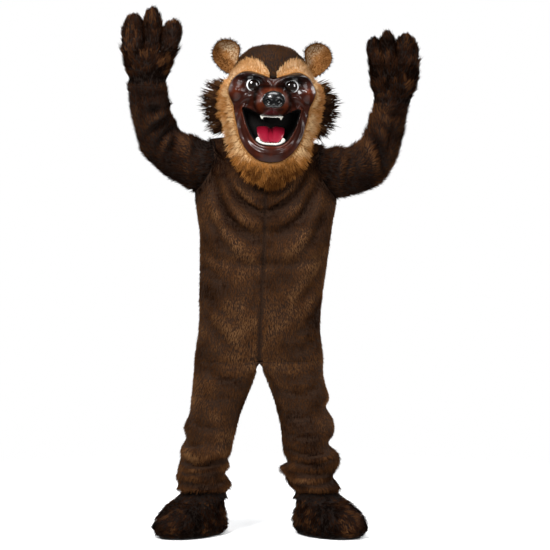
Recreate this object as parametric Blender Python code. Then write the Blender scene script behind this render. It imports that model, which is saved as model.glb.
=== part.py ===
"""A wolverine costume, worn and hollow: a fur-cloth suit with raised sleeves, mitts, foot covers and a head.

Metres, +Z up, the front faces -Y. The origin is where the wearer's shoulders hold the suit up, so the floor
lies SHOULDER_HEIGHT below it. Left and right are the sides seen from the front. Heights in the tables are
measured from the floor.
"""

import math
from collections import namedtuple

import bmesh
import bpy
import numpy as np
from mathutils import Euler

# Driving dimensions.
SHOULDER_HEIGHT = 1.510
HIP_HEIGHT = 0.690
CHEST_HEIGHT = 1.200
LOW_HEIGHTS = (0.690, 0.790, 0.890, 0.985, 1.045, 1.073, 1.108, 1.160)
LOW_ROWS = len(LOW_HEIGHTS)
SEAM = 0.0003
ARMHOLE_SEAM = 0.0005
ARMHOLE_OPENING = 40.0
BODY_SQUARENESS = 2.5
LEG_SQUARENESS = 2.2
LEG_SET_BACK = 0.006
FUR_CLOTH = 0.006
MITT_CLOTH = 0.007
RUFF_CLOTH = 0.010
MASK_WALL = 0.0035

# How finely the walls are divided.
QUARTER_COLUMNS = 7
ARMHOLE_ROWS = 8
SHOULDER_ROWS = 2
CROTCH_COLUMNS = 5
SLEEVE_COLUMNS = 2 * ARMHOLE_ROWS
FOOT_COLUMNS = 16
DIGIT_COLUMNS = 10
HEAD_COLUMNS = 20
BACK_ROWS = 7
MASK_ROWS = 7
EAR_COLUMNS = 14

LEFT = -1
RIGHT = 1
FRONT = -1
BACK = 1
SIDES = {"left": LEFT, "right": RIGHT}

# The suit's body, from the hip seam to the armpits: where its side and centre seams run.
Girth = namedtuple("Girth", "height left right middle")
GIRTHS = (
    Girth(0.690, -0.281, 0.240, -0.018),
    Girth(0.770, -0.262, 0.233, -0.016),
    Girth(0.850, -0.267, 0.226, -0.013),
    Girth(0.960, -0.262, 0.240, -0.008),
    Girth(1.080, -0.261, 0.256, -0.001),
    Girth(1.200, -0.261, 0.272, 0.003),
    Girth(1.333, -0.277, 0.289, 0.006),
    Girth(1.600, -0.277, 0.289, 0.008),
)

# The centre front and centre back lines: how far each stands from the side seams' plane.
Line = namedtuple("Line", "height depth")
FRONT_LINE = (
    Line(0.690, 0.135),
    Line(0.770, 0.156),
    Line(0.900, 0.168),
    Line(1.080, 0.168),
    Line(1.230, 0.172),
    Line(1.333, 0.164),
    Line(1.430, 0.138),
    Line(1.505, 0.108),
)
BACK_LINE = (
    Line(0.690, 0.148),
    Line(0.800, 0.170),
    Line(0.950, 0.150),
    Line(1.080, 0.138),
    Line(1.230, 0.148),
    Line(1.350, 0.152),
    Line(1.470, 0.132),
    Line(1.555, 0.095),
)
FRONT_NECK_HEIGHTS = (1.475, 1.505)
BACK_NECK_HEIGHTS = (1.525, 1.555)

# An armhole: a slanted loop from the armpit to the shoulder's tip, and the shoulder seam's end at the neck.
Armhole = namedtuple("Armhole", "armpit_x armpit_height tip_x tip_height neck_x neck_height depth bow")
ARMHOLES = {
    LEFT: Armhole(-0.277, 1.346, -0.205, 1.574, -0.108, 1.583, 0.190, 0.040),
    RIGHT: Armhole(0.289, 1.320, 0.225, 1.548, 0.124, 1.566, 0.190, 0.040),
}

# Soft cowl folds that hang in a U from the shoulders: the height where each crosses the centre, its depth.
Cowl = namedtuple("Cowl", "height depth")
COWLS = (
    Cowl(1.303, 0.014),
    Cowl(1.200, 0.013),
    Cowl(1.073, 0.011),
)
COWL_WIDTH = 0.022

# The sleeves, from the armhole to the cuff. Each section spans from the arm's outer line to its inner line.
Section = namedtuple("Section", "outer_x outer_height inner_x inner_height depth forward")
SLEEVES = {
    LEFT: (
        Section(-0.301, 1.362, -0.234, 1.564, 0.196, 0.000),
        Section(-0.341, 1.386, -0.271, 1.582, 0.186, 0.004),
        Section(-0.384, 1.412, -0.305, 1.590, 0.190, 0.010),
        Section(-0.428, 1.447, -0.333, 1.610, 0.174, 0.018),
        Section(-0.463, 1.481, -0.343, 1.634, 0.178, 0.026),
        Section(-0.489, 1.517, -0.362, 1.662, 0.164, 0.034),
        Section(-0.501, 1.560, -0.366, 1.684, 0.170, 0.040),
        Section(-0.515, 1.612, -0.361, 1.704, 0.158, 0.046),
        Section(-0.529, 1.671, -0.369, 1.727, 0.160, 0.052),
        Section(-0.536, 1.723, -0.371, 1.747, 0.148, 0.056),
        Section(-0.539, 1.772, -0.377, 1.770, 0.148, 0.060),
    ),
    RIGHT: (
        Section(0.329, 1.331, 0.249, 1.533, 0.196, 0.000),
        Section(0.368, 1.342, 0.286, 1.539, 0.186, 0.004),
        Section(0.408, 1.358, 0.323, 1.535, 0.190, 0.010),
        Section(0.447, 1.378, 0.352, 1.550, 0.174, 0.018),
        Section(0.483, 1.408, 0.376, 1.564, 0.178, 0.026),
        Section(0.511, 1.449, 0.391, 1.594, 0.164, 0.034),
        Section(0.530, 1.497, 0.404, 1.624, 0.170, 0.040),
        Section(0.543, 1.548, 0.411, 1.658, 0.158, 0.046),
        Section(0.556, 1.600, 0.418, 1.671, 0.160, 0.050),
        Section(0.564, 1.647, 0.419, 1.681, 0.148, 0.054),
        Section(0.571, 1.689, 0.424, 1.692, 0.148, 0.058),
    ),
}

# The mitts' palms, from the cuff to the knuckles. A squareness of 2 is an ellipse.
Palm = namedtuple("Palm", "outer_x outer_height inner_x inner_height depth forward squareness")
PALMS = {
    LEFT: (
        Palm(-0.535, 1.798, -0.380, 1.795, 0.126, 0.062, 2.2),
        Palm(-0.548, 1.853, -0.361, 1.848, 0.138, 0.066, 2.6),
        Palm(-0.552, 1.906, -0.346, 1.906, 0.126, 0.072, 4.0),
    ),
    RIGHT: (
        Palm(0.582, 1.718, 0.427, 1.723, 0.126, 0.060, 2.2),
        Palm(0.600, 1.767, 0.418, 1.773, 0.142, 0.064, 2.6),
        Palm(0.605, 1.853, 0.418, 1.853, 0.128, 0.076, 4.0),
    ),
}

# The mitts' digits: the knuckle slice each stands on, then its tip, girth and how far the tip curls forward.
Digit = namedtuple("Digit", "name outer_x inner_x tip_x tip_height width curl")
DIGITS = {
    LEFT: (
        Digit("outer", -0.552, -0.467, -0.508, 2.052, 0.090, 0.020),
        Digit("middle", -0.467, -0.407, -0.434, 2.078, 0.076, 0.030),
        Digit("inner", -0.407, -0.346, -0.352, 2.030, 0.082, 0.010),
    ),
    RIGHT: (
        Digit("outer", 0.605, 0.517, 0.552, 1.972, 0.092, 0.050),
        Digit("middle", 0.517, 0.463, 0.480, 1.980, 0.066, 0.060),
        Digit("inner", 0.463, 0.418, 0.428, 1.958, 0.062, 0.040),
    ),
}
DIGIT_DEPTH = 0.082
DIGIT_STEPS = (0.0, 0.25, 0.50, 0.74, 0.92)
DIGIT_ROUND_FROM = 0.45

# The legs below the hip seam: the outer and inner outline, the depth, and how far a section tips sideways.
Leg = namedtuple("Leg", "height outer inner depth tip")
LEGS = {
    LEFT: (
        Leg(0.625, -0.288, -0.034, 0.290, 0.000),
        Leg(0.546, -0.295, -0.060, 0.272, 0.000),
        Leg(0.480, -0.301, -0.088, 0.256, 0.004),
        Leg(0.418, -0.322, -0.105, 0.250, 0.008),
        Leg(0.374, -0.316, -0.117, 0.232, 0.010),
        Leg(0.332, -0.334, -0.126, 0.246, 0.008),
        Leg(0.300, -0.338, -0.136, 0.226, 0.004),
        Leg(0.262, -0.347, -0.134, 0.244, -0.006),
        Leg(0.230, -0.353, -0.148, 0.228, -0.010),
        Leg(0.205, -0.344, -0.136, 0.222, -0.010),
        Leg(0.180, -0.354, -0.122, 0.242, -0.006),
    ),
    RIGHT: (
        Leg(0.625, 0.242, 0.006, 0.290, 0.000),
        Leg(0.546, 0.266, 0.028, 0.272, 0.000),
        Leg(0.500, 0.254, 0.042, 0.252, -0.004),
        Leg(0.440, 0.280, 0.058, 0.252, -0.010),
        Leg(0.384, 0.284, 0.066, 0.248, -0.016),
        Leg(0.342, 0.262, 0.074, 0.222, -0.018),
        Leg(0.300, 0.298, 0.089, 0.248, -0.014),
        Leg(0.266, 0.300, 0.064, 0.246, -0.006),
        Leg(0.230, 0.280, 0.078, 0.222, 0.000),
        Leg(0.200, 0.296, 0.086, 0.236, 0.004),
        Leg(0.180, 0.306, 0.104, 0.230, 0.000),
    ),
}
HEM_RADIUS = 0.0875
HEM_HEIGHTS = (0.160, 0.151)
HEM_TURN = 0.004
CROTCH_ANGLE = 50.0

# The feet: ankle centres, and the foot's level sections along its own direction, from the floor up.
ANKLES = {LEFT: (-0.238, 0.012), RIGHT: (0.206, 0.012)}
TOE_OUT = 35.0
Foot = namedtuple("Foot", "height shift half_length half_width lobes squareness")
FOOT = (
    Foot(0.0040, 0.088, 0.168, 0.104, 0.000, 2.2),
    Foot(0.0300, 0.092, 0.184, 0.118, 0.030, 2.2),
    Foot(0.0620, 0.088, 0.181, 0.117, 0.035, 2.2),
    Foot(0.0920, 0.074, 0.161, 0.107, 0.025, 2.2),
    Foot(0.1160, 0.050, 0.131, 0.095, 0.010, 2.2),
    Foot(0.1340, 0.022, 0.103, 0.085, 0.000, 2.0),
    Foot(0.1460, 0.000, 0.0800, 0.0800, 0.000, 2.0),
    Foot(0.1850, 0.000, 0.0800, 0.0800, 0.000, 2.0),
)
TOE_LOBES = 8
SOLE_THICKNESS = 0.012

# The head: its frame stands on the face's centre, tilted and turned a little on the neck.
HEAD_X = 0.022
FACE_HEIGHT = 1.660
HEAD_TILT = 2.4
HEAD_TURN = 2.5
Skull = namedtuple("Skull", "height half_width front back")
SKULL = (
    Skull(1.470, 0.150, 0.160, 0.1314),
    Skull(1.530, 0.152, 0.160, 0.1534),
    Skull(1.600, 0.162, 0.160, 0.184),
    Skull(1.650, 0.174, 0.160, 0.198),
    Skull(1.710, 0.179, 0.165, 0.206),
    Skull(1.760, 0.174, 0.180, 0.206),
    Skull(1.800, 0.166, 0.194, 0.200),
    Skull(1.840, 0.156, 0.182, 0.186),
    Skull(1.877, 0.138, 0.158, 0.164),
    Skull(1.905, 0.112, 0.128, 0.134),
    Skull(1.930, 0.076, 0.086, 0.092),
    Skull(1.946, 0.002, 0.002, 0.002),
)
CROWN_HEIGHTS = (1.800, 1.840, 1.877, 1.905, 1.930)
CROWN_TOP = 1.946
BACK_EDGE_ANGLE = 80.0
BACK_SIDE_HEIGHTS = (1.800, 1.600)
CAPE_HEIGHT = 1.480
CAPE_CURVE = 1.3

# Spokes across the face's edge, from the chin up to the brow's middle: the mouth, the moulded face's rim, and
# the outer edge of the tan fur, with how far that edge stands in front of the head's middle plane.
Spoke = namedtuple("Spoke", "mouth_x mouth_height rim_x rim_height edge_x edge_height edge_depth")
SPOKES = (
    Spoke(0.000, 1.536, 0.000, 1.474, 0.000, 1.362, 0.206),
    Spoke(0.022, 1.537, 0.040, 1.480, 0.045, 1.378, 0.204),
    Spoke(0.042, 1.542, 0.072, 1.499, 0.088, 1.405, 0.198),
    Spoke(0.058, 1.552, 0.098, 1.527, 0.134, 1.446, 0.182),
    Spoke(0.072, 1.567, 0.118, 1.564, 0.160, 1.500, 0.152),
    Spoke(0.086, 1.590, 0.131, 1.606, 0.174, 1.562, 0.112),
    Spoke(0.098, 1.617, 0.140, 1.650, 0.194, 1.630, 0.074),
    Spoke(0.107, 1.645, 0.148, 1.690, 0.210, 1.690, 0.054),
    Spoke(0.113, 1.666, 0.165, 1.726, 0.207, 1.735, 0.050),
    Spoke(0.115, 1.680, 0.169, 1.754, 0.192, 1.768, 0.054),
    Spoke(0.104, 1.684, 0.158, 1.784, 0.172, 1.796, 0.056),
    Spoke(0.090, 1.680, 0.140, 1.806, 0.150, 1.834, 0.060),
    Spoke(0.076, 1.674, 0.114, 1.821, 0.126, 1.864, 0.080),
    Spoke(0.060, 1.664, 0.084, 1.823, 0.088, 1.880, 0.100),
    Spoke(0.044, 1.657, 0.046, 1.812, 0.046, 1.862, 0.120),
    Spoke(0.022, 1.655, 0.014, 1.800, 0.014, 1.826, 0.150),
    Spoke(0.000, 1.654, 0.000, 1.797, 0.000, 1.820, 0.150),
)
BEARD_END = 4
RUFF_END = 10
BROW_END = 15
RUFF_ROWS = 4
RUFF_GAP = 0.0011
SPOKE_SEAM = 0.006
FUR_PROUD = 0.004
CROWN_CLEAR = 0.0093

# The moulded face: a round front that leans back at the forehead and fills out at the jaw, with swellings.
FACE_BACK = 0.092
FACE_ROUND = 0.108
FACE_HALF_WIDTH = 0.190
FOREHEAD_HEIGHT = 1.760
FOREHEAD_SLOPE = 0.35
JAW_HEIGHT = 1.660
JAW_FADE = 0.060
JAW_RISE = 0.012
Swelling = namedtuple("Swelling", "name across height rise wide tall flatness")
SWELLINGS = (
    Swelling("muzzle", 0.000, 1.708, 0.118, 0.064, 0.050, 1.8),
    Swelling("bridge", 0.000, 1.775, 0.020, 0.034, 0.040, 1.0),
    Swelling("brow", 0.078, 1.808, 0.026, 0.050, 0.015, 1.0),
    Swelling("cheek", 0.146, 1.748, 0.028, 0.026, 0.028, 1.0),
    Swelling("socket", 0.074, 1.770, -0.012, 0.030, 0.022, 1.0),
    Swelling("chin", 0.000, 1.508, 0.024, 0.080, 0.036, 1.0),
)

# The dark manes behind the ruff: how far their locks reach out at each height.
Rim = namedtuple("Rim", "height half_width")
MANE_EDGE = (
    Rim(1.594, 0.214),
    Rim(1.630, 0.240),
    Rim(1.670, 0.252),
    Rim(1.710, 0.262),
    Rim(1.750, 0.248),
    Rim(1.786, 0.222),
)
MANE_LOCKS = 8
MANE_LOCK_DEPTH = 0.024
MANE_CLOTH = 0.008
MANE_BACK = 0.020
MANE_SWEEP = 0.016
MANE_DROOP = 0.006
MANE_GAP = 0.0004

EAR_X = 0.179
EAR_HEIGHT = 1.892
EAR_RADIUS = 0.066
EAR_CUP = 0.034
EAR_CLOTH = 0.006
EAR_LINING = 0.004
EAR_GAP = -0.0008
EAR_LIP = 0.012
EAR_STEPS = (1.0, 0.75, 0.4)

EYE_X = 0.074
EYE_HEIGHT = 1.771
EYE_SIZE = (0.0285, 0.0200, 0.0285)
EYE_SUNK = 0.0075
NOSE_SIZE = (0.0445, 0.0300, 0.0350)
NOSE_HEIGHT = 1.715
NOSE_DEPTH = 0.331

# The mouth's lining is a pocket behind the lip: how its outline shrinks and flattens as it goes back.
LINING = 0.002
LIP_SEAM = 0.0005
Pocket = namedtuple("Pocket", "share depth flatness")
POCKET = (
    Pocket(0.99, 0.190, 0.5),
    Pocket(0.95, 0.160, 0.9),
    Pocket(0.84, 0.124, 1.0),
)
POCKET_STEP = 0.022
POCKET_BULGE = 0.008

# The tongue lies in the pocket, from its root to its tip behind the lower teeth.
TONGUE_HALF_WIDTH = 0.054
TONGUE_THICKNESS = 0.017
TONGUE_ROOT_DEPTH = 0.150
TONGUE_TIP_DEPTH = 0.2018
TONGUE_ROOT_HEIGHT = 1.606
TONGUE_TIP_HEIGHT = 1.554
TONGUE_ARCH = 0.008
TONGUE_GROOVE = 0.006
TONGUE_COLUMNS = 14
TONGUE_RINGS = 6

# Rows of teeth along the mouth's edge, each one bar with two fangs.
Teeth = namedtuple("Teeth", "inset behind half_thick body fang_x fang_wide fang_length")
LOWER_TEETH = Teeth(0.0085, 0.0150, 0.0045, 0.0050, 0.047, 0.006, 0.0130)
UPPER_TEETH = Teeth(0.0040, 0.0130, 0.0030, 0.0030, 0.037, 0.005, 0.0104)
LOWER_TEETH_SPOKES = 3.3
UPPER_TEETH_HALF_WIDTH = 0.043
TEETH_STEPS = 15

# Colours as linear red, green and blue.
FUR_BROWN = (0.045, 0.020, 0.008)
FUR_DARK = (0.020, 0.010, 0.005)
FUR_TAN = (0.520, 0.250, 0.090)
MOULDED_BROWN = (0.055, 0.012, 0.005)
GLOSS_BLACK = (0.006, 0.006, 0.006)
EYE_WHITE = (0.800, 0.800, 0.780)
TOOTH_WHITE = (0.780, 0.770, 0.700)
TONGUE_RED = (0.450, 0.010, 0.040)
SCREEN_BLACK = (0.004, 0.004, 0.004)
SOLE_RUBBER = (0.012, 0.010, 0.009)


def clear_scene():
    for obj in list(bpy.data.objects):
        bpy.data.objects.remove(obj, do_unlink=True)


def new_collection(name):
    collection = bpy.data.collections.new(name)
    bpy.context.scene.collection.children.link(collection)
    return collection


def paint(obj, colour, roughness, metallic=0.0):
    """Gives the object a Principled material of its own."""
    material = bpy.data.materials.new(obj.name + "_finish")
    material.use_nodes = True
    shader = material.node_tree.nodes["Principled BSDF"]
    shader.inputs["Base Color"].default_value = (*colour, 1.0)
    shader.inputs["Roughness"].default_value = roughness
    shader.inputs["Metallic"].default_value = metallic
    material.diffuse_color = (*colour, 1.0)
    obj.data.materials.clear()
    obj.data.materials.append(material)


def curve_through(table, at, column, key="height"):
    """A smooth curve through one column of a table, in cubic pieces with the neighbours' slopes."""
    values = np.array([getattr(row, column) for row in table])
    keys = np.array([getattr(row, key) for row in table]) if key else np.arange(len(table))
    order = np.argsort(keys)
    keys = keys[order]
    values = values[order]
    slopes = np.gradient(values, keys)
    at = np.clip(np.asarray(at, float), keys[0], keys[-1])
    k = np.clip(np.searchsorted(keys, at, side="right") - 1, 0, len(keys) - 2)
    span = keys[k + 1] - keys[k]
    t = (at - keys[k]) / span
    rise = (1 + 2 * t) * (1 - t) ** 2 * values[k] + t * t * (3 - 2 * t) * values[k + 1]
    lean = t * (1 - t) ** 2 * slopes[k] - t * t * (1 - t) * slopes[k + 1]
    return rise + lean * span


def level(height):
    """A height above the floor as a z coordinate."""
    return height - SHOULDER_HEIGHT


def rounded(angle, squareness):
    """The cosine and sine of a superellipse: 2 is an ellipse, more is squarer."""
    c = np.cos(angle)
    s = np.sin(angle)
    power = 2.0 / squareness
    return np.sign(c) * np.abs(c) ** power, np.sign(s) * np.abs(s) ** power


def outward_normals(grid, around, centre):
    """Unit normals of a grid of points, rows by columns, that point away from centre."""
    along = np.gradient(grid, axis=0)
    if around:
        across = np.roll(grid, -1, axis=1) - np.roll(grid, 1, axis=1)
    else:
        across = np.gradient(grid, axis=1)
    normals = np.cross(across, along)
    normals /= np.maximum(np.linalg.norm(normals, axis=2, keepdims=True), 1e-9)
    facing = ((grid - centre) * normals).sum()
    return normals if facing > 0 else -normals


def moved_in(grid, thickness, around=True, centre=None):
    """The wall's inner points: the outer ones moved inward along the normals."""
    if centre is None:
        centre = grid.mean(axis=1, keepdims=True)
    return grid - thickness * outward_normals(grid, around, centre)


def wall_faces(rows, columns, around, tip):
    """Faces of a closed wall: the outer grid, the inner grid and the rims that join them."""
    inner = rows * columns + (1 if tip else 0)
    last = columns if around else columns - 1
    faces = []
    for i in range(rows - 1):
        for j in range(last):
            k = (j + 1) % columns
            a, b = i * columns + j, i * columns + k
            c, d = a + columns, b + columns
            faces.append((a, b, d, c))
            faces.append((inner + a, inner + c, inner + d, inner + b))
    end = (rows - 1) * columns
    for j in range(last):
        k = (j + 1) % columns
        faces.append((k, j, inner + j, inner + k))
        if tip:
            faces.append((end + j, end + k, rows * columns))
            faces.append((inner + end + k, inner + end + j, inner + rows * columns))
        else:
            faces.append((end + j, end + k, inner + end + k, inner + end + j))
    if not around:
        for i in range(rows - 1):
            a, b = i * columns, (i + 1) * columns
            faces.append((a, b, inner + b, inner + a))
            c, d = a + columns - 1, b + columns - 1
            faces.append((d, c, inner + c, inner + d))
    return faces


def mesh_object(name, points, faces, collection, parent=None):
    """A closed mesh object whose faces point outwards."""
    mesh = bpy.data.meshes.new(name)
    mesh.from_pydata([tuple(map(float, p)) for p in points], [], faces)
    work = bmesh.new()
    work.from_mesh(mesh)
    bmesh.ops.triangulate(work, faces=work.faces[:])
    if work.calc_volume(signed=True) < 0:
        bmesh.ops.reverse_faces(work, faces=work.faces[:])
    work.to_mesh(mesh)
    work.free()
    mesh.shade_smooth()
    mesh.set_sharp_from_angle(angle=math.radians(50))
    obj = bpy.data.objects.new(name, mesh)
    collection.objects.link(obj)
    obj.parent = parent
    return obj


def wall(name, outer, inner, collection, around=True, tip=None, parent=None):
    """A wall between two grids of points. tip is a pair of points that close the last row, or None."""
    rows, columns = outer.shape[:2]
    sheets = []
    for number, grid in enumerate((outer, inner)):
        sheets.append(grid.reshape(-1, 3))
        if tip is not None:
            sheets.append(np.array(tip[number]).reshape(1, 3))
    faces = wall_faces(rows, columns, around, tip is not None)
    return mesh_object(name, np.concatenate(sheets), faces, collection, parent)


def solid(name, rings, collection, parent=None):
    """A filled form through rings, closed at both ends by a fan to the ring's middle."""
    count, columns = rings.shape[:2]
    points = np.concatenate([rings.reshape(-1, 3), rings[0].mean(0)[None], rings[-1].mean(0)[None]])
    faces = []
    for i in range(count - 1):
        for j in range(columns):
            k = (j + 1) % columns
            a, b = i * columns + j, i * columns + k
            faces.append((a, b, b + columns, a + columns))
    start = count * columns
    end = (count - 1) * columns
    for j in range(columns):
        k = (j + 1) % columns
        faces.append((k, j, start))
        faces.append((end + j, end + k, start + 1))
    return mesh_object(name, points, faces, collection, parent)


def blend(a, b, t):
    return a + (b - a) * t


def armhole_loop(side, angle):
    """Points of the armhole: angle 0 is the armpit, a quarter turn the front, half a turn the tip."""
    hole = ARMHOLES[side]
    t = (1 - np.cos(angle)) / 2
    x = blend(hole.armpit_x, hole.tip_x, t) - side * hole.bow * np.sin(angle) ** 2
    y = -hole.depth / 2 * np.sin(angle)
    z = level(blend(hole.armpit_height, hole.tip_height, t))
    return np.stack([x, y, z], axis=-1)


def turned_in(loop, thickness):
    """The armhole's points moved toward its middle by one share, so that body and sleeve meet flat."""
    way = loop.mean(axis=0) - loop
    return loop + thickness * way / np.linalg.norm(way, axis=1).mean()


def cowl_sink(centre_height):
    """How far the chest folds sink the row that crosses the centre at this height, with a crest above each."""
    sunk = np.zeros_like(centre_height)
    for fold in COWLS:
        above = (centre_height - fold.height) / COWL_WIDTH
        sunk += fold.depth * (np.exp(-(above**2)) - 0.5 * np.exp(-((above - 1.6) ** 2)))
    return sunk


def torso_panel(side, face):
    """One quarter of the suit's body: a grid of rows from the hip up, columns from the centre to the side."""
    hole = ARMHOLES[side]
    line = FRONT_LINE if face == FRONT else BACK_LINE
    neck_low, neck_top = FRONT_NECK_HEIGHTS if face == FRONT else BACK_NECK_HEIGHTS
    low = (np.array(LOW_HEIGHTS) - HIP_HEIGHT) / (CHEST_HEIGHT - HIP_HEIGHT)
    arm = np.linspace(0, 1, ARMHOLE_ROWS + 1)
    top = np.linspace(0, 1, SHOULDER_ROWS + 1)[1:]
    centre_height = np.concatenate(
        [
            blend(HIP_HEIGHT, CHEST_HEIGHT, low),
            blend(CHEST_HEIGHT, neck_low, arm),
            blend(neck_low, neck_top, top),
        ]
    )
    centre = np.stack(
        [
            curve_through(GIRTHS, centre_height, "middle") + side * SEAM / 2,
            face * curve_through(line, centre_height, "depth"),
            level(centre_height),
        ],
        axis=1,
    )
    side_height = blend(HIP_HEIGHT, hole.armpit_height, low)
    edge_low = np.stack(
        [
            curve_through(GIRTHS, side_height, "left" if side == LEFT else "right"),
            np.full_like(low, face * SEAM / 2),
            level(side_height),
        ],
        axis=1,
    )
    edge_arm = armhole_loop(side, math.pi * arm) * [1.0, -face, 1.0]
    edge_arm[[0, -1], 1] = face * SEAM / 2
    edge_top = np.stack(
        [
            blend(hole.tip_x, hole.neck_x, top),
            np.full_like(top, face * SEAM / 2),
            level(blend(hole.tip_height, hole.neck_height, top)),
        ],
        axis=1,
    )
    edge = np.concatenate([edge_low, edge_arm, edge_top])
    softening = np.linspace(BODY_SQUARENESS, 2.0, len(arm))
    squareness = np.concatenate([np.full(len(low), BODY_SQUARENESS), softening, np.full(len(top), 2.0)])
    u = np.linspace(0, 1, QUARTER_COLUMNS + 1)
    quarter = np.full(len(centre), math.pi / 2)
    quarter[LOW_ROWS : LOW_ROWS + len(arm)] -= math.radians(ARMHOLE_OPENING) * np.sin(math.pi * arm)
    c, s = rounded(u[None, :] * quarter[:, None], squareness[:, None])
    x = centre[:, None, 0] + (edge - centre)[:, None, 0] * s / s[:, -1:]
    y = edge[:, None, 1] + (centre - edge)[:, None, 1] * (c - c[:, -1:]) / (1 - c[:, -1:])
    z = centre[:, None, 2] + (edge - centre)[:, None, 2] * u[None, :] ** 2
    grid = np.stack([x, y, z], axis=2)
    if face == FRONT:
        grid[:, :, 1] += cowl_sink(centre_height)[:, None] * (1 - u**2)[None, :]
    return grid


def torso_inner(grid, side, face):
    """The panel's inner points, kept in the seams' planes along its edges."""
    inner = moved_in(grid, FUR_CLOTH, around=False, centre=np.array([0.0, 0.0, -0.3]))
    armhole = slice(LOW_ROWS, LOW_ROWS + ARMHOLE_ROWS + 1)
    loop = armhole_loop(side, 2 * math.pi * np.arange(SLEEVE_COLUMNS) / SLEEVE_COLUMNS) * [1.0, -face, 1.0]
    inner[armhole, -1] = turned_in(loop, FUR_CLOTH)[: ARMHOLE_ROWS + 1]
    inner[:, 0, 0] = grid[:, 0, 0]
    inner[: LOW_ROWS + 1, -1, 1] = grid[: LOW_ROWS + 1, -1, 1]
    inner[LOW_ROWS + ARMHOLE_ROWS :, -1, 1] = grid[LOW_ROWS + ARMHOLE_ROWS :, -1, 1]
    inner[0, :, 2] = grid[0, :, 2]
    return inner


def make_torso(collection):
    for side_name, side in SIDES.items():
        for face_name, face in (("front", FRONT), ("back", BACK)):
            outer = torso_panel(side, face)
            inner = torso_inner(outer, side, face)
            panel = wall(f"suit_{face_name}_{side_name}", outer, inner, collection, around=False)
            paint(panel, FUR_BROWN, 0.8)


def arm_section(section, columns, squareness=2.0):
    """A level ring across an arm: angle 0 is the outer line, a quarter turn on is the front."""
    angle = 2 * math.pi * np.arange(columns) / columns
    c, s = rounded(angle, squareness)
    outer = np.array([section.outer_x, 0.0, level(section.outer_height)])
    inner = np.array([section.inner_x, 0.0, level(section.inner_height)])
    ring = (outer + inner) / 2 + c[:, None] * (outer - inner) / 2
    ring[:, 1] = -section.forward - s * section.depth / 2
    return ring


def sleeve_rings(side):
    """The sleeve: the armhole's loop, then the arm's sections up to the cuff."""
    loop = armhole_loop(side, 2 * math.pi * np.arange(SLEEVE_COLUMNS) / SLEEVE_COLUMNS)
    first = arm_section(SLEEVES[side][0], SLEEVE_COLUMNS)
    way = first.mean(0) - loop.mean(0)
    loop += way / np.linalg.norm(way) * ARMHOLE_SEAM
    return np.stack([loop] + [arm_section(row, SLEEVE_COLUMNS) for row in SLEEVES[side]])


def make_sleeves(collection):
    for name, side in SIDES.items():
        outer = sleeve_rings(side)
        inner = moved_in(outer, FUR_CLOTH)
        inner[0] = turned_in(outer[0], FUR_CLOTH)
        inner[-1, :, 2] = outer[-1, :, 2]
        sleeve = wall(f"sleeve_{name}", outer, inner, collection)
        paint(sleeve, FUR_BROWN, 0.8)


def leg_rings(side):
    """A trouser leg: a D at the hip seam, with its flat side at the crotch, then ovals, then the hem."""
    front = torso_panel(side, FRONT)[0]
    back = torso_panel(side, BACK)[0]
    outline = np.concatenate([front, back[-2::-1]])
    outline[len(front) - 1, 1] = 0.0
    steps = np.arange(1, CROTCH_COLUMNS + 1)[:, None] / (CROTCH_COLUMNS + 1)
    crotch = blend(back[0], front[0], steps)
    top = np.concatenate([outline, crotch])
    top[:, 2] = level(HIP_HEIGHT) - SEAM
    arc = len(outline) - 1
    swing = 360.0 - 2 * CROTCH_ANGLE
    round_front = CROTCH_ANGLE + swing * np.arange(arc + 1) / arc
    past_crotch = 360.0 - CROTCH_ANGLE + 2 * CROTCH_ANGLE * steps[:, 0]
    turn = np.radians(np.concatenate([round_front, past_crotch]))
    rings = [top]
    for number, row in enumerate(LEGS[side]):
        c, s = rounded(turn, LEG_SQUARENESS)
        middle = (row.outer + row.inner) / 2
        x = middle + (row.inner - row.outer) / 2 * c
        y = LEG_SET_BACK - row.depth / 2 * s
        z = level(row.height) + row.tip * c * side
        ring = np.stack([x, y, z], axis=1)
        if number == 0:
            ring[:, :2] = blend(top[:, :2], ring[:, :2], 0.7)
        rings.append(ring)
    x, y = ANKLES[side]
    for height in HEM_HEIGHTS:
        ring = np.empty_like(top)
        ring[:, 0] = x - side * HEM_RADIUS * np.cos(turn)
        ring[:, 1] = y - HEM_RADIUS * np.sin(turn)
        ring[:, 2] = level(height)
        rings.append(ring)
    return np.stack(rings)


def make_legs(collection):
    for name, side in SIDES.items():
        outer = leg_rings(side)
        inner = moved_in(outer, FUR_CLOTH)
        inner[0, :, 2] = outer[0, :, 2]
        ankle = np.array([*ANKLES[side], level(0.0)])
        for row in (-2, -1):
            inner[row] = outer[row] - FUR_CLOTH * (outer[row] - ankle) / HEM_RADIUS * [1.0, 1.0, 0.0]
        inner[-2, :, 2] += HEM_TURN
        leg = wall(f"leg_{name}", outer, inner, collection)
        paint(leg, FUR_BROWN, 0.8)


def foot_section(side, row, inset=0.0):
    """A level ring of the foot, long along the foot's own direction, with soft lobes at the toes."""
    angle = 2 * math.pi * np.arange(FOOT_COLUMNS) / FOOT_COLUMNS
    c, s = rounded(angle, row.squareness)
    toes = np.clip(np.cos(angle), 0, 1) ** 2
    swell = 1 + row.lobes * toes * np.cos(TOE_LOBES * angle)
    ahead = row.shift + (row.half_length - inset) * c * swell
    aside = (row.half_width - inset) * s * swell
    x, y = ANKLES[side]
    out = math.radians(TOE_OUT)
    forward = np.array([side * math.sin(out), -math.cos(out)])
    sideways = np.array([-forward[1], forward[0]])
    plan = np.array([x, y]) + ahead[:, None] * forward + aside[:, None] * sideways
    return np.column_stack([plan, np.full(FOOT_COLUMNS, level(row.height))])


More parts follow.
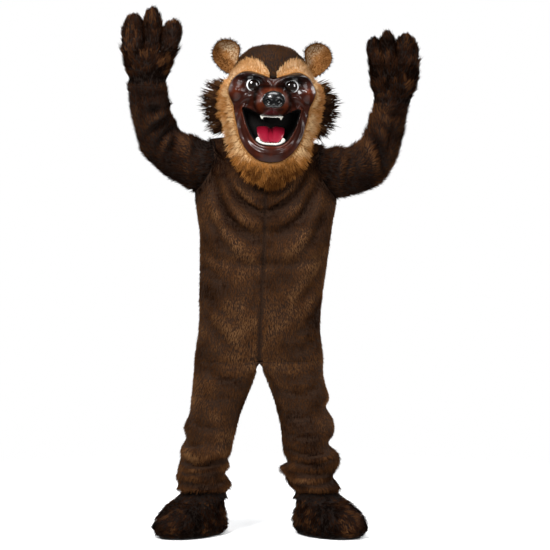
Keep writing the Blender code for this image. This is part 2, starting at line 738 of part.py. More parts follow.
def make_feet(collection):
    for name, side in SIDES.items():
        outer = np.stack([foot_section(side, row) for row in FOOT])
        inner = moved_in(outer, FUR_CLOTH)
        inner[0, :, 2] = outer[0, :, 2]
        cover = wall(f"foot_cover_{name}", outer, inner, collection)
        paint(cover, FUR_BROWN, 0.85)
        ground = FOOT[0]._replace(height=0.0)
        top = ground._replace(height=SOLE_THICKNESS)
        inset = FUR_CLOTH + 2 * SEAM
        rings = np.stack([foot_section(side, ground, inset), foot_section(side, top, inset)])
        sole = solid(f"sole_{name}", rings, collection)
        paint(sole, SOLE_RUBBER, 0.7)


def palm_rings(side):
    cuff = arm_section(SLEEVES[side][-1], SLEEVE_COLUMNS)
    cuff[:, 2] += SEAM
    rows = [arm_section(row, SLEEVE_COLUMNS, row.squareness) for row in PALMS[side]]
    return np.stack([cuff] + rows)


def digit_rings(side, number):
    """A digit: a squarish ring on the knuckles that rounds off, swells and closes at the tip."""
    knuckle = PALMS[side][-1]
    digits = DIGITS[side]
    digit = digits[number]
    base_z = level(knuckle.outer_height) + SEAM
    tip_z = level(digit.tip_height)
    base_x = (digit.outer_x + digit.inner_x) / 2
    base_half = abs(digit.outer_x - digit.inner_x) / 2 - SEAM
    angle = 2 * math.pi * np.arange(DIGIT_COLUMNS) / DIGIT_COLUMNS
    rings = []
    for t in DIGIT_STEPS:
        squareness = blend(4.0, 2.0, min(1.0, 2.5 * t))
        c, s = rounded(angle, squareness)
        close = math.sqrt(1 - max(0.0, (t - DIGIT_ROUND_FROM) / (1 - DIGIT_ROUND_FROM)) ** 2)
        half = blend(base_half, digit.width / 2, min(1.0, 2 * t)) * close
        depth = blend(knuckle.depth / 2 - 0.001, DIGIT_DEPTH / 2, min(1.0, 2 * t)) * close
        z = blend(base_z, tip_z, t)
        x = blend(base_x, digit.tip_x, t) + half * c
        for near in (number - 1, number + 1):
            if 0 <= near < len(digits):
                x = kept_clear(x, z, base_z, digit, digits[near], side)
        y = -knuckle.forward - digit.curl * t * t - depth * s
        rings.append(np.column_stack([x, y, np.full(DIGIT_COLUMNS, z)]))
    tip = np.array([digit.tip_x, -knuckle.forward - digit.curl, tip_z])
    return np.stack(rings), tip


def kept_clear(x, z, base_z, digit, other, side):
    """Holds a digit's points on its own side of the plane that parts it from its neighbour."""
    outward = (digit.outer_x - other.outer_x) * side > 0
    base_x = digit.inner_x if outward else digit.outer_x
    lean = (z - base_z) / (level((digit.tip_height + other.tip_height) / 2) - base_z)
    plane = blend(base_x, (digit.tip_x + other.tip_x) / 2, lean)
    if outward == (side > 0):
        return np.maximum(x, plane + SEAM / 2)
    return np.minimum(x, plane - SEAM / 2)


def make_mitts(collection):
    for name, side in SIDES.items():
        outer = palm_rings(side)
        inner = moved_in(outer, MITT_CLOTH)
        inner[[0, -1], :, 2] = outer[[0, -1], :, 2]
        palm = wall(f"mitt_palm_{name}", outer, inner, collection)
        paint(palm, FUR_BROWN, 0.85)
        for number, digit in enumerate(DIGITS[side]):
            rings, tip = digit_rings(side, number)
            hollow = moved_in(rings, MITT_CLOTH)
            hollow[0, :, 2] = rings[0, :, 2]
            ends = (tip, tip - np.array([0.0, 0.0, MITT_CLOTH]))
            finger = wall(f"mitt_{digit.name}_{name}", rings, hollow, collection, tip=ends)
            paint(finger, FUR_BROWN, 0.85)


def head_ring(height, angle):
    """Points of the skull's level ring, in the head's frame: angle 0 is the front, 180 degrees the back."""
    half = curve_through(SKULL, height, "half_width")
    front = curve_through(SKULL, height, "front")
    back = curve_through(SKULL, height, "back")
    x = half * np.sin(angle)
    y = -np.where(np.cos(angle) > 0, front, back) * np.cos(angle)
    z = np.broadcast_to(np.asarray(height, float) - FACE_HEIGHT, x.shape)
    return np.stack([x, y, z], axis=-1)


def make_skull(collection, head):
    angle = 2 * math.pi * np.arange(HEAD_COLUMNS) / HEAD_COLUMNS
    heights = np.array(CROWN_HEIGHTS)
    outer = np.stack([head_ring(height, angle) for height in heights])
    inner = moved_in(outer, FUR_CLOTH)
    inner[0, :, 2] = outer[0, :, 2]
    top = np.array([0.0, 0.0, CROWN_TOP - FACE_HEIGHT])
    crown = wall("head_crown", outer, inner, collection, tip=(top, top - [0, 0, FUR_CLOTH]), parent=head)
    paint(crown, FUR_DARK, 0.8)

    edge = math.radians(BACK_EDGE_ANGLE)
    angle = np.linspace(edge, 2 * math.pi - edge, HEAD_COLUMNS)
    high, low = BACK_SIDE_HEIGHTS
    bottom = blend(low, CAPE_HEIGHT, np.clip(-np.cos(angle), 0, 1) ** CAPE_CURVE)
    shares = np.linspace(0, 1, BACK_ROWS + 1)
    outer = np.stack([head_ring(blend(high - SEAM, bottom, t), angle) for t in shares])
    inner = moved_in(outer, FUR_CLOTH, around=False, centre=np.zeros(3))
    inner[0, :, 2] = outer[0, :, 2]
    back = wall("head_back", outer, inner, collection, around=False, parent=head)
    paint(back, FUR_DARK, 0.8)


def face_depth(x, height):
    """How far the moulded face stands in front of the head's middle plane."""
    depth = FACE_BACK + FACE_ROUND * np.sqrt(np.clip(1 - (x / FACE_HALF_WIDTH) ** 2, 0, 1))
    depth = depth - FOREHEAD_SLOPE * np.clip(height - FOREHEAD_HEIGHT, 0, 1)
    depth = depth + JAW_RISE * np.clip((JAW_HEIGHT - height) / JAW_FADE, 0, 1)
    for lump in SWELLINGS:
        across = (np.abs(x) - lump.across) / lump.wide
        up = (height - lump.height) / lump.tall
        depth = depth + lump.rise * np.exp(-((across**2 + up**2) ** lump.flatness))
    return depth


def crown_depth(x, height):
    """How far the crown stands in front of the head's middle plane; zero outside its outline."""
    half = curve_through(SKULL, height, "half_width")
    return curve_through(SKULL, height, "front") * np.sqrt(np.clip(1 - (x / half) ** 2, 0, 1))


def spoke_points(share, first, second, at):
    """Points part of the way along the spokes, as x and height. share counts spokes, negative on the left."""
    near_x, near_height, far_x, far_height = (
        curve_through(SPOKES, np.abs(share), column, None)
        for column in (f"{first}_x", f"{first}_height", f"{second}_x", f"{second}_height")
    )
    return np.sign(share) * blend(near_x, far_x, at), blend(near_height, far_height, at)


def all_spokes():
    """Every spoke round the face, from the chin up the right side to the brow and down the left."""
    last = len(SPOKES) - 1
    return np.concatenate([np.arange(last + 1), np.arange(1 - last, 0)]).astype(float)


def make_mask(collection, cutters, head):
    t = np.linspace(0, 1, MASK_ROWS + 1)[:, None]
    x, height = spoke_points(all_spokes()[None], "rim", "mouth", t)
    outer = np.stack([x, -face_depth(x, height), height - FACE_HEIGHT], axis=2)
    behind = np.array([0.0, 0.3, 0.0])
    inner = outer - MASK_WALL * outward_normals(outer, True, behind)
    mask = wall("face_mask", outer, inner, collection, parent=head)
    paint(mask, MOULDED_BROWN, 0.25)
    for name, side in SIDES.items():
        depth = float(face_depth(np.array(EYE_X), np.array(EYE_HEIGHT))) - EYE_SUNK
        place = (side * EYE_X, -depth, EYE_HEIGHT - FACE_HEIGHT)
        seat_ball(f"eye_{name}", place, EYE_SIZE, EYE_WHITE, collection, cutters, mask, head)
    place = (0.0, -NOSE_DEPTH, NOSE_HEIGHT - FACE_HEIGHT)
    seat_ball("nose", place, NOSE_SIZE, GLOSS_BLACK, collection, cutters, mask, head)
    return inner[-1]


def seat_ball(name, place, size, colour, collection, cutters, mask, head):
    """A ball let into the face's wall through a hole a little larger than itself."""
    obj = ball(name, place, size, collection, head)
    paint(obj, colour, 0.1)
    hole = ball(f"{name}_hole", place, [radius + 2 * SEAM for radius in size], cutters, head)
    hole.hide_render = True
    hole.display_type = "WIRE"
    cut = mask.modifiers.new(f"{name}_hole", "BOOLEAN")
    cut.object = hole
    cut.operation = "DIFFERENCE"


def ball(name, place, radii, collection, parent, segments=14, rings=8):
    """A ball whose poles point fore and aft, with its three radii."""
    mesh = bpy.data.meshes.new(name)
    work = bmesh.new()
    bmesh.ops.create_uvsphere(work, u_segments=segments, v_segments=rings, radius=1.0)
    turn = Euler((math.pi / 2, 0, 0)).to_matrix().to_4x4()
    bmesh.ops.transform(work, matrix=turn, verts=work.verts[:])
    bmesh.ops.scale(work, vec=radii, verts=work.verts[:])
    bmesh.ops.triangulate(work, faces=work.faces[:])
    work.to_mesh(mesh)
    work.free()
    mesh.shade_smooth()
    obj = bpy.data.objects.new(name, mesh)
    collection.objects.link(obj)
    obj.parent = parent
    obj.location = place
    return obj


def bar(name, path, across, up, down, collection, parent):
    """A six-sided bar along a path, with its half size across and how far it reaches up and down."""
    ways = np.gradient(path, axis=0)
    ways /= np.linalg.norm(ways, axis=1, keepdims=True)
    lift = np.array([0.0, 0.0, 1.0])
    out = np.cross(ways, lift)
    out /= np.linalg.norm(out, axis=1, keepdims=True)
    rings = []
    for aside, rise in ((1.0, 0.0), (0.5, 1.0), (-0.5, 1.0), (-1.0, 0.0), (-0.5, -1.0), (0.5, -1.0)):
        reach = up if rise > 0 else down
        rings.append(path + out * across * aside + lift * (rise * reach)[:, None])
    return solid(name, np.stack(rings, axis=1), collection, parent)


def mouth_path(spokes, teeth):
    """A path inside the mouth's edge, moved in toward the mouth's middle and back from the lip."""
    x, height = spoke_points(spokes, "mouth", "mouth", 0.0)
    middle = (SPOKES[0].mouth_height + SPOKES[-1].mouth_height) / 2
    away = np.hypot(x, height - middle)
    depth = face_depth(x, height) - teeth.behind
    x = x * (1 - teeth.inset / away)
    height = middle + (height - middle) * (1 - teeth.inset / away)
    return np.column_stack([x, -depth, height - FACE_HEIGHT])


def make_mouth(collection, head, lip):
    """The dark lining is a pocket that starts at the lip's inner edge. Teeth and tongue lie inside it."""
    middle = np.array([0.0, 0.0, (SPOKES[0].mouth_height + SPOKES[-1].mouth_height) / 2 - FACE_HEIGHT])
    away = (lip - middle) * [1.0, 0.0, 1.0]
    start = lip - LIP_SEAM * away / np.linalg.norm(away, axis=1, keepdims=True) + [0.0, SEAM, 0.0]
    rings = [start]
    for step in POCKET:
        ring = middle + (start - middle) * step.share
        ring[:, 1] = blend(start[:, 1] + POCKET_STEP, -step.depth, step.flatness)
        rings.append(ring)
    outer = np.stack(rings)
    end = outer[-1].mean(0) + [0.0, POCKET_BULGE, 0.0]
    tips = (end, end - [0.0, LINING, 0.0])
    lining = wall("mouth_lining", outer, moved_in(outer, LINING), collection, tip=tips, parent=head)
    paint(lining, SCREEN_BLACK, 0.95)
    make_tongue(collection, head)
    make_teeth(collection, head)


def make_tongue(collection, head):
    """Oval rings from root to tip, narrower and thinner there, arched, with a groove along the middle."""
    c, s = rounded(2 * math.pi * np.arange(TONGUE_COLUMNS) / TONGUE_COLUMNS, 2.6)
    groove = TONGUE_GROOVE * np.exp(-((c / 0.2) ** 2)) * np.clip(s, 0, 1)
    rings = []
    for t in np.linspace(0, 1, TONGUE_RINGS):
        half = TONGUE_HALF_WIDTH * math.sqrt(1 - 0.72 * t**4)
        thick = TONGUE_THICKNESS / 2 * (1 - 0.4 * t)
        y = -blend(TONGUE_ROOT_DEPTH, TONGUE_TIP_DEPTH, t) + 0.4 * thick * s
        middle = blend(TONGUE_ROOT_HEIGHT, TONGUE_TIP_HEIGHT, t) + TONGUE_ARCH * math.sin(math.pi * t)
        z = middle - FACE_HEIGHT + thick * s - groove
        rings.append(np.column_stack([half * c, y, z]))
    tongue = solid("tongue", np.stack(rings), collection, head)
    paint(tongue, TONGUE_RED, 0.3)


def fang_reach(x, teeth):
    """How far the row of teeth reaches toward the other row: its body, and a fang on each side."""
    return teeth.body + teeth.fang_length * np.exp(-(((np.abs(x) - teeth.fang_x) / teeth.fang_wide) ** 2))


def make_teeth(collection, head):
    path = mouth_path(np.linspace(-LOWER_TEETH_SPOKES, LOWER_TEETH_SPOKES, TEETH_STEPS), LOWER_TEETH)
    up = fang_reach(path[:, 0], LOWER_TEETH)
    down = np.full_like(up, LOWER_TEETH.body)
    lower = bar("lower_teeth", path, LOWER_TEETH.half_thick, up, down, collection, head)
    paint(lower, TOOTH_WHITE, 0.25)

    x = np.linspace(-UPPER_TEETH_HALF_WIDTH, UPPER_TEETH_HALF_WIDTH, TEETH_STEPS)
    lip_x = [spoke.mouth_x for spoke in SPOKES[:-4:-1]]
    last = len(SPOKES) - 1
    path = mouth_path(np.interp(np.abs(x), lip_x, [last, last - 1, last - 2]), UPPER_TEETH)
    path[:, 0] = x
    down = fang_reach(x, UPPER_TEETH)
    up = np.full_like(down, UPPER_TEETH.body)
    upper = bar("upper_teeth", path, UPPER_TEETH.half_thick, up, down, collection, head)
    paint(upper, TOOTH_WHITE, 0.25)


def fur_edge_grid(spokes):
    """Tan fur from the moulded face's rim out to its own edge, in front of the crown where it crosses it."""
    rim_x, rim_h = spoke_points(spokes, "rim", "rim", 0.0)
    edge_x, edge_h = spoke_points(spokes, "edge", "edge", 0.0)
    away = np.hypot(edge_x - rim_x, edge_h - rim_h)
    t = np.linspace(0, 1, RUFF_ROWS)[:, None]
    t = t + (1 - t) * (RUFF_GAP / away)[None]
    x = blend(rim_x[None], edge_x[None], t)
    height = blend(rim_h[None], edge_h[None], t)
    rim_depth = face_depth(rim_x, rim_h) + FUR_PROUD
    depth = blend(rim_depth[None], curve_through(SPOKES, np.abs(spokes), "edge_depth", None)[None], t**1.4)
    over_crown = np.where(height > CROWN_HEIGHTS[0] - 0.012, crown_depth(x, height) + CROWN_CLEAR, 0.0)
    return np.stack([x, -np.maximum(depth, over_crown), height - FACE_HEIGHT], axis=2)


def make_ruff(collection, head):
    parts = {
        "beard": (-BEARD_END, BEARD_END, RUFF_CLOTH),
        "cheek_ruff_left": (-RUFF_END, -BEARD_END, RUFF_CLOTH),
        "cheek_ruff_right": (BEARD_END, RUFF_END, RUFF_CLOTH),
        "brow_band_left": (-BROW_END, -RUFF_END, FUR_CLOTH),
        "brow_band_right": (RUFF_END, BROW_END, FUR_CLOTH),
    }
    for name, (start, stop, thickness) in parts.items():
        spokes = np.linspace(start, stop, stop - start + 1)
        spokes[0] += SPOKE_SEAM
        spokes[-1] -= SPOKE_SEAM
        outer = fur_edge_grid(spokes)
        inner = outer + [0.0, thickness, 0.0]
        piece = wall(name, outer, inner, collection, around=False, parent=head)
        paint(piece, FUR_TAN, 0.85)


def make_manes(collection, head):
    for name, side in SIDES.items():
        heights = np.linspace(MANE_EDGE[0].height, MANE_EDGE[-1].height, 2 * MANE_LOCKS + 1)
        half = curve_through(SKULL, heights, "half_width")
        root = half * np.sqrt(1 - (MANE_BACK / curve_through(SKULL, heights, "front")) ** 2) + MANE_GAP
        comb = np.where(np.arange(len(heights)) % 2 == 0, MANE_LOCK_DEPTH, 0.0)
        tip = curve_through(MANE_EDGE, heights, "half_width") - comb
        t = np.array([0.0, 0.5, 1.0])[:, None]
        x = side * blend(root[None], tip[None], t)
        y = -MANE_BACK - MANE_CLOTH + MANE_SWEEP * t + np.zeros_like(x)
        z = heights[None] - FACE_HEIGHT - MANE_DROOP * t + np.zeros_like(x)
        outer = np.stack([x, y, z], axis=2)
        inner = outer + [0.0, MANE_CLOTH, 0.0]
        mane = wall(f"mane_{name}", outer, inner, collection, around=False, parent=head)
        paint(mane, FUR_DARK, 0.85)


def ear_grid(side, inset):
    """A round cup that opens forward, its edge cut back where it meets the crown."""
    angle = 2 * math.pi * np.arange(EAR_COLUMNS) / EAR_COLUMNS
    share = np.linspace(1.0, 0.2, 161)[:, None]
    x = EAR_X + EAR_RADIUS * share * np.cos(angle)
    height = EAR_HEIGHT + EAR_RADIUS * share * np.sin(angle)
    skull = np.where(height < CROWN_TOP, curve_through(SKULL, height, "half_width") + EAR_GAP, 0.0)
    clear = np.argmax(x > skull, axis=0)
    reach = share[clear, 0]
    rings = []
    for t in EAR_STEPS:
        radius = (EAR_RADIUS - inset) * t * reach
        y = EAR_CUP * (1 - t * t) - EAR_LIP * t * t
        ring = [side * (EAR_X + radius * np.cos(angle)), np.full(EAR_COLUMNS, y), radius * np.sin(angle)]
        rings.append(np.column_stack(ring) + [0.0, 0.0, EAR_HEIGHT - FACE_HEIGHT])
    return np.stack(rings), np.array([side * EAR_X, EAR_CUP, EAR_HEIGHT - FACE_HEIGHT])


def make_ears(collection, head):
    for name, side in SIDES.items():
        for kind, inset, front, thickness, colour in (
            ("back", 0.0, 0.0, EAR_CLOTH, FUR_DARK),
            ("lining", EAR_LINING, EAR_CLOTH + 0.001, EAR_LINING, FUR_TAN),
        ):
            outer, centre = ear_grid(side, inset)
            near = np.array([0.0, -front, 0.0])
            far = np.array([0.0, -front - thickness, 0.0])
            tips = (centre + near, centre + far)
            cup = wall(f"ear_{kind}_{name}", outer + near, outer + far, collection, tip=tips, parent=head)
            paint(cup, colour, 0.85)


def make_head_frame(collection):
    head = bpy.data.objects.new("head_frame", None)
    collection.objects.link(head)
    head.location = (HEAD_X, 0.0, level(FACE_HEIGHT))
    head.rotation_euler = Euler((0.0, math.radians(HEAD_TILT), math.radians(HEAD_TURN)))
    return head


def main():
    clear_scene()
    costume = new_collection("wolverine_costume")
    cutters = new_collection("cutters")
    make_torso(costume)
    make_sleeves(costume)
    make_legs(costume)
    make_feet(costume)
    make_mitts(costume)
    head = make_head_frame(costume)
    make_skull(costume, head)
    lip = make_mask(costume, cutters, head)
    make_mouth(costume, head, lip)
    make_ruff(costume, head)
    make_manes(costume, head)
    make_ears(costume, head)


main()
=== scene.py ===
# %% [markdown]
# # A wolverine costume in long pile
#
# A full costume, worn and hollow: a fur-cloth suit with raised sleeves, mitts, foot covers and a head with a
# moulded face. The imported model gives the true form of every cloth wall. This script dresses that form: thin
# cloth with its creases, thousands of tapered locks of pile on top, a glossy moulded face, and the studio.
#
# Everything is in metres. The front faces -Y, and the floor lies SHOULDER_HEIGHT below the origin, because
# the wearer's shoulders hold the suit up there. Left and right are the sides seen from the front.

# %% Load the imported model
import math
from collections import namedtuple

import bpy
import numpy as np
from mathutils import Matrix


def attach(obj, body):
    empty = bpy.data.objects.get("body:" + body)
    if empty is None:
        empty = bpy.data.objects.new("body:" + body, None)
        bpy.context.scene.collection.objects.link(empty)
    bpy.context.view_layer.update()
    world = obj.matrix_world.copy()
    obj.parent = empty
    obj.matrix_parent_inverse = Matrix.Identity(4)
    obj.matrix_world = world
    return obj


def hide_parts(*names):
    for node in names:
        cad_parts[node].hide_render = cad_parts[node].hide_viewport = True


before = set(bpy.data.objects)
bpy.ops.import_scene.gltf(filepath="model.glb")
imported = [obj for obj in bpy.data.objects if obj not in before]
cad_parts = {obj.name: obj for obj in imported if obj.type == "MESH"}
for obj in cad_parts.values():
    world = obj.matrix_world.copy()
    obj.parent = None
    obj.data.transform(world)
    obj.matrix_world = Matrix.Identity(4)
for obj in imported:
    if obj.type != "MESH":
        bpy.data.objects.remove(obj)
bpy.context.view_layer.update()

# %% [markdown]
# ## Numbers that every piece shares
#
# A costume is cut in panels, and each panel is a surface of two parameters: how far along it a point is, and
# how far round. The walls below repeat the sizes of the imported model, so each thin shell sits where its solid
# is. Only the rows that name a real section are typed. A smooth curve through them gives the rest.

# %% Sizes of the suit
SHOULDER_HEIGHT = 1.510
FACE_HEIGHT = 1.660
SEAM = 0.0003
LEFT = -1
RIGHT = 1
FRONT = -1
BACK = 1
SIDES = {"left": LEFT, "right": RIGHT}


def level(height):
    """A height above the floor as a z coordinate: the height less the shoulders' height."""
    return height - SHOULDER_HEIGHT


def blend(a, b, t):
    """A straight mix: a where t is 0, b where t is 1."""
    return a + (b - a) * t


def bell(distance, width):
    """1 where the distance is 0, falling away on both sides over the width."""
    return np.exp(-((distance / width) ** 2))


def ramp_up(amount, span):
    """0 up to an amount of 0, then a straight rise to 1 at the span."""
    return np.clip(amount / span, 0, 1)


def full_turn(count):
    """The angles of evenly spaced places round a full turn."""
    return 2 * math.pi * np.arange(count) / count


def points_of(x, y, z):
    """Points from their three coordinates, each one number or an array."""
    return np.stack(np.broadcast_arrays(x, y, z), axis=-1)


def curve_through(table, at, column, key="height"):
    """A smooth curve through one column of a table, in cubic pieces with the neighbours' slopes."""
    values = np.array([getattr(row, column) for row in table])
    keys = np.array([getattr(row, key) for row in table]) if key else np.arange(len(table))
    order = np.argsort(keys)
    keys = keys[order]
    values = values[order]
    slopes = np.gradient(values, keys)
    at = np.clip(np.asarray(at, float), keys[0], keys[-1])
    k = np.clip(np.searchsorted(keys, at, side="right") - 1, 0, len(keys) - 2)
    span = keys[k + 1] - keys[k]
    t = (at - keys[k]) / span
    rise = (1 + 2 * t) * (1 - t) ** 2 * values[k] + t * t * (3 - 2 * t) * values[k + 1]
    lean = t * (1 - t) ** 2 * slopes[k] - t * t * (1 - t) * slopes[k + 1]
    return rise + lean * span


def rounded(angle, squareness):
    """The cosine and sine of a superellipse: 2 is an ellipse, more is squarer."""
    c = np.cos(angle)
    s = np.sin(angle)
    power = 2.0 / squareness
    return np.sign(c) * np.abs(c) ** power, np.sign(s) * np.abs(s) ** power


# %% [markdown]
# ## Surfaces
#
# A grid of points is the plainest way to hold a sewn panel: rows run along it and columns run round it. One
# function makes a coarse grid finer with the same smooth curve in both directions. Another gives its normals,
# and a third joins two grids into a closed wall, which is what a piece of cloth is.

# %% Grids of points
def unit(vectors):
    """The vectors divided by their lengths."""
    return vectors / np.maximum(np.linalg.norm(vectors, axis=-1, keepdims=True), 1e-9)


def finer(grid, times, axis, around=False):
    """A Catmull-Rom curve through the grid along one axis, with the given number of steps between points."""
    rows = np.moveaxis(grid, axis, 0)
    count = len(rows)
    if around:
        at = np.arange(count * times) / times
        near = [np.take(rows, np.floor(at).astype(int) + k, axis=0, mode="wrap") for k in (-1, 0, 1, 2)]
    else:
        at = np.arange((count - 1) * times + 1) / times
        padded = np.concatenate([2 * rows[:1] - rows[1:2], rows, 2 * rows[-1:] - rows[-2:-1]])
        start = np.minimum(np.floor(at).astype(int), count - 2)
        near = [padded[start + k] for k in (0, 1, 2, 3)]
    whole = np.floor(at) if around else np.minimum(np.floor(at), count - 2)
    t = (at - whole).reshape((-1,) + (1,) * (grid.ndim - 1))
    a, b, c, d = near
    curve = b + 0.5 * t * (c - a + t * (2 * a - 5 * b + 4 * c - d + t * (3 * (b - c) + d - a)))
    return np.moveaxis(curve, 0, axis)


def fine(grid, row_times, column_times, around):
    """The grid made finer along its rows and across its columns."""
    return finer(finer(grid, row_times, 0), column_times, 1, around)


def normals_of(grid, around, centre=None):
    """Unit normals of a grid, pointing away from centre, or from each row's middle where none is given."""
    if centre is None:
        centre = grid.mean(axis=1, keepdims=True)
    along = np.gradient(grid, axis=0)
    across = np.roll(grid, -1, 1) - np.roll(grid, 1, 1) if around else np.gradient(grid, axis=1)
    normals = unit(np.cross(across, along))
    return normals if ((grid - centre) * normals).sum() > 0 else -normals


def grid_faces(rows, columns, around, first=0, flip=False):
    """Four corner numbers for each cell of a grid whose points start at number first."""
    across = np.arange(columns if around else columns - 1)
    i, j = np.meshgrid(np.arange(rows - 1), across, indexing="ij")
    k = (j + 1) % columns
    low, high = i * columns, (i + 1) * columns
    faces = np.stack([low + j, low + k, high + k, high + j], axis=-1).reshape(-1, 4) + first
    return faces[:, ::-1] if flip else faces


def new_mesh(name, points, faces, material, normals=None):
    """A mesh object from whole arrays. faces is a list of arrays, each with its own number of corners. The
    shading follows the given normals, one for each point, or the mesh's own where there are none."""
    mesh = bpy.data.meshes.new(name)
    points = np.ascontiguousarray(points, dtype=np.float32)
    corners = np.concatenate([block.reshape(-1) for block in faces]).astype(np.int32)
    sizes = np.concatenate([np.full(len(block), block.shape[1]) for block in faces])
    starts = np.concatenate([[0], np.cumsum(sizes)[:-1]]).astype(np.int32)
    mesh.vertices.add(len(points))
    mesh.vertices.foreach_set("co", points.reshape(-1))
    mesh.loops.add(len(corners))
    mesh.loops.foreach_set("vertex_index", corners)
    mesh.polygons.add(len(starts))
    mesh.polygons.foreach_set("loop_start", starts)
    mesh.update(calc_edges=True)
    mesh.validate()
    mesh.polygons.foreach_set("use_smooth", np.ones(len(mesh.polygons), bool))
    if normals is not None:
        own = mesh.attributes.new("custom_normal", "FLOAT_VECTOR", "POINT")
        own.data.foreach_set("vector", np.ascontiguousarray(normals, dtype=np.float32).reshape(-1))
    mesh.materials.append(material)
    obj = bpy.data.objects.new(name, mesh)
    bpy.context.scene.collection.objects.link(obj)
    return obj


def facing_out(points, faces):
    """The faces, turned over where the volume that they enclose comes out negative. Each block of faces is
    summed as fans of triangles."""
    total = 0.0
    for block in faces:
        for k in range(1, block.shape[1] - 1):
            a, b, c = points[block[:, 0]], points[block[:, k]], points[block[:, k + 1]]
            total += (a * np.cross(b, c)).sum()
    return [block[:, ::-1] for block in faces] if total < 0 else faces


def closed_wall(name, outer, inner, around, material, tips=None):
    """Cloth between two grids of points, closed along its edges. tips are two points, one for each grid, that
    close the last row."""
    rows, columns = outer.shape[:2]
    tip = rows * columns
    start = tip if tips is None else tip + 1
    end = tip - columns
    sheets = []
    for number, grid in enumerate((outer, inner)):
        sheets.append(grid.reshape(-1, 3))
        if tips is not None:
            sheets.append(np.reshape(tips[number], (1, 3)))
    points = np.concatenate(sheets)
    faces = [grid_faces(rows, columns, around), grid_faces(rows, columns, around, start, flip=True)]
    j = np.arange(columns if around else columns - 1)
    k = (j + 1) % columns
    faces.append(np.stack([k, j, start + j, start + k], axis=1))
    if tips is None:
        faces.append(np.stack([end + j, end + k, start + end + k, start + end + j], axis=1))
    else:
        faces.append(np.stack([end + j, end + k, np.full_like(j, tip)], axis=1))
        faces.append(np.stack([start + end + k, start + end + j, np.full_like(j, start + tip)], axis=1))
    if not around:
        a = np.arange(rows - 1) * columns
        b = a + columns
        faces.append(np.stack([a, b, start + b, start + a], axis=1))
        a, b = a + columns - 1, b + columns - 1
        faces.append(np.stack([b, a, start + a, start + b], axis=1))
    return new_mesh(name, points, facing_out(points, faces), material)


# %% [markdown]
# ## Noise without an image
#
# Cloth and pile are never even. Both kinds of noise below come from one number that is worked out from a
# lattice point, so the script gives the same result each time it runs.

# %% Noise
# One lattice point's coordinates are mixed along this way, stepped by the seed, and spread by a large factor.
MIX_WAY = np.array([127.1, 311.7, 74.7])
MIX_SEED = 19.19
MIX_SPREAD = 43758.5453


def scatter_number(cells, seed):
    """A number from 0 to 1 for each lattice point: the fraction of a large sine of its coordinates."""
    mixed = cells @ MIX_WAY + seed * MIX_SEED
    return np.modf(np.abs(np.sin(mixed) * MIX_SPREAD))[0]


# The lattice stands at a slant, so that its cells don't line up with the level seams.
SLANT = np.array([[0.80, 0.36, -0.48], [0.0, 0.80, 0.60], [0.60, -0.48, 0.64]])


def soft_noise(points, size, seed=0):
    """Lattice numbers mixed smoothly across cells of the given size in metres, from -1 to 1."""
    place = points @ SLANT / size
    cell = np.floor(place)
    t = place - cell
    t = t * t * (3 - 2 * t)
    total = np.zeros(points.shape[:-1])
    for corner in np.ndindex(2, 2, 2):
        corner = np.array(corner)
        share = np.where(corner == 1, t, 1 - t).prod(axis=-1)
        total += share * scatter_number(cell + corner, seed)
    return 2 * total - 1


def nearest_tuft(points, size, seed):
    """The nearest of a set of scattered points, one in each lattice cell of the given size."""
    cell = np.floor(points / size)
    best = np.full(points.shape[:-1], np.inf)
    found = points.copy()
    for offset in np.ndindex(3, 3, 3):
        near = cell + np.array(offset) - 1
        jitter = np.stack([scatter_number(near, seed + k) for k in (1, 2, 3)], axis=-1)
        place = (near + jitter) * size
        gap = ((place - points) ** 2).sum(axis=-1)
        closer = gap < best
        best = np.where(closer, gap, best)
        found[closer] = place[closer]
    return found


def tuft_number(points, size, seed):
    """A number from 0 to 1 that all the locks of one tuft share."""
    return scatter_number(np.round(nearest_tuft(points, size, seed) * 1e4), seed)


# %% [markdown]
# ## Finishes
#
# Each finish starts from the real material. A photograph's colours are sRGB, and Blender mixes light in
# linear numbers, so one function turns a hex code into linear values. One small function adds a node with its
# settings and its links, which keeps each finish short enough to read as a recipe.

# %% Colour and node helpers
def linear(code):
    """An sRGB hex code as linear red, green, blue and an alpha of 1: the inverse of the sRGB curve."""
    parts = np.array([int(code[k : k + 2], 16) for k in (1, 3, 5)]) / 255
    straight = np.where(parts <= 0.04045, parts / 12.92, ((parts + 0.055) / 1.055) ** 2.4)
    return (*straight.tolist(), 1.0)


def new_finish(name, **sockets):
    """A material with one Principled shader, whose even values are set on its own sockets."""
    material = bpy.data.materials.new(name)
    material.use_nodes = True
    shader = material.node_tree.nodes["Principled BSDF"]
    for socket, value in sockets.items():
        shader.inputs[socket.replace("_", " ")].default_value = value
    return material, shader


def add(material, kind, inputs=(), stops=(), **settings):
    """Adds a node: its settings, its inputs' values or links, and a ramp's stops as (place, hex code)."""
    tree = material.node_tree
    node = tree.nodes.new("ShaderNode" + kind)
    for key, value in settings.items():
        setattr(node, key, value)
    for socket, value in dict(inputs).items():
        if isinstance(value, bpy.types.NodeSocket):
            tree.links.new(value, node.inputs[socket])
        else:
            node.inputs[socket].default_value = value
    for number, (place, code) in enumerate(stops):
        elements = node.color_ramp.elements
        element = elements[number] if number < 2 else elements.new(place)
        element.position = place
        element.color = linear(code)
    return node


def colour_on(material, number, stops):
    """The colour that a number has on a ramp of (place, hex code) stops."""
    return add(material, "ValToRGB", {"Fac": number}, stops=stops).outputs["Color"]


def painted(material, shader, colour, bump=None):
    """The material, once its shader is fed by a colour and, where there is one, a bump."""
    material.node_tree.links.new(colour, shader.inputs["Base Color"])
    if bump is not None:
        material.node_tree.links.new(bump, shader.inputs["Normal"])
    return material


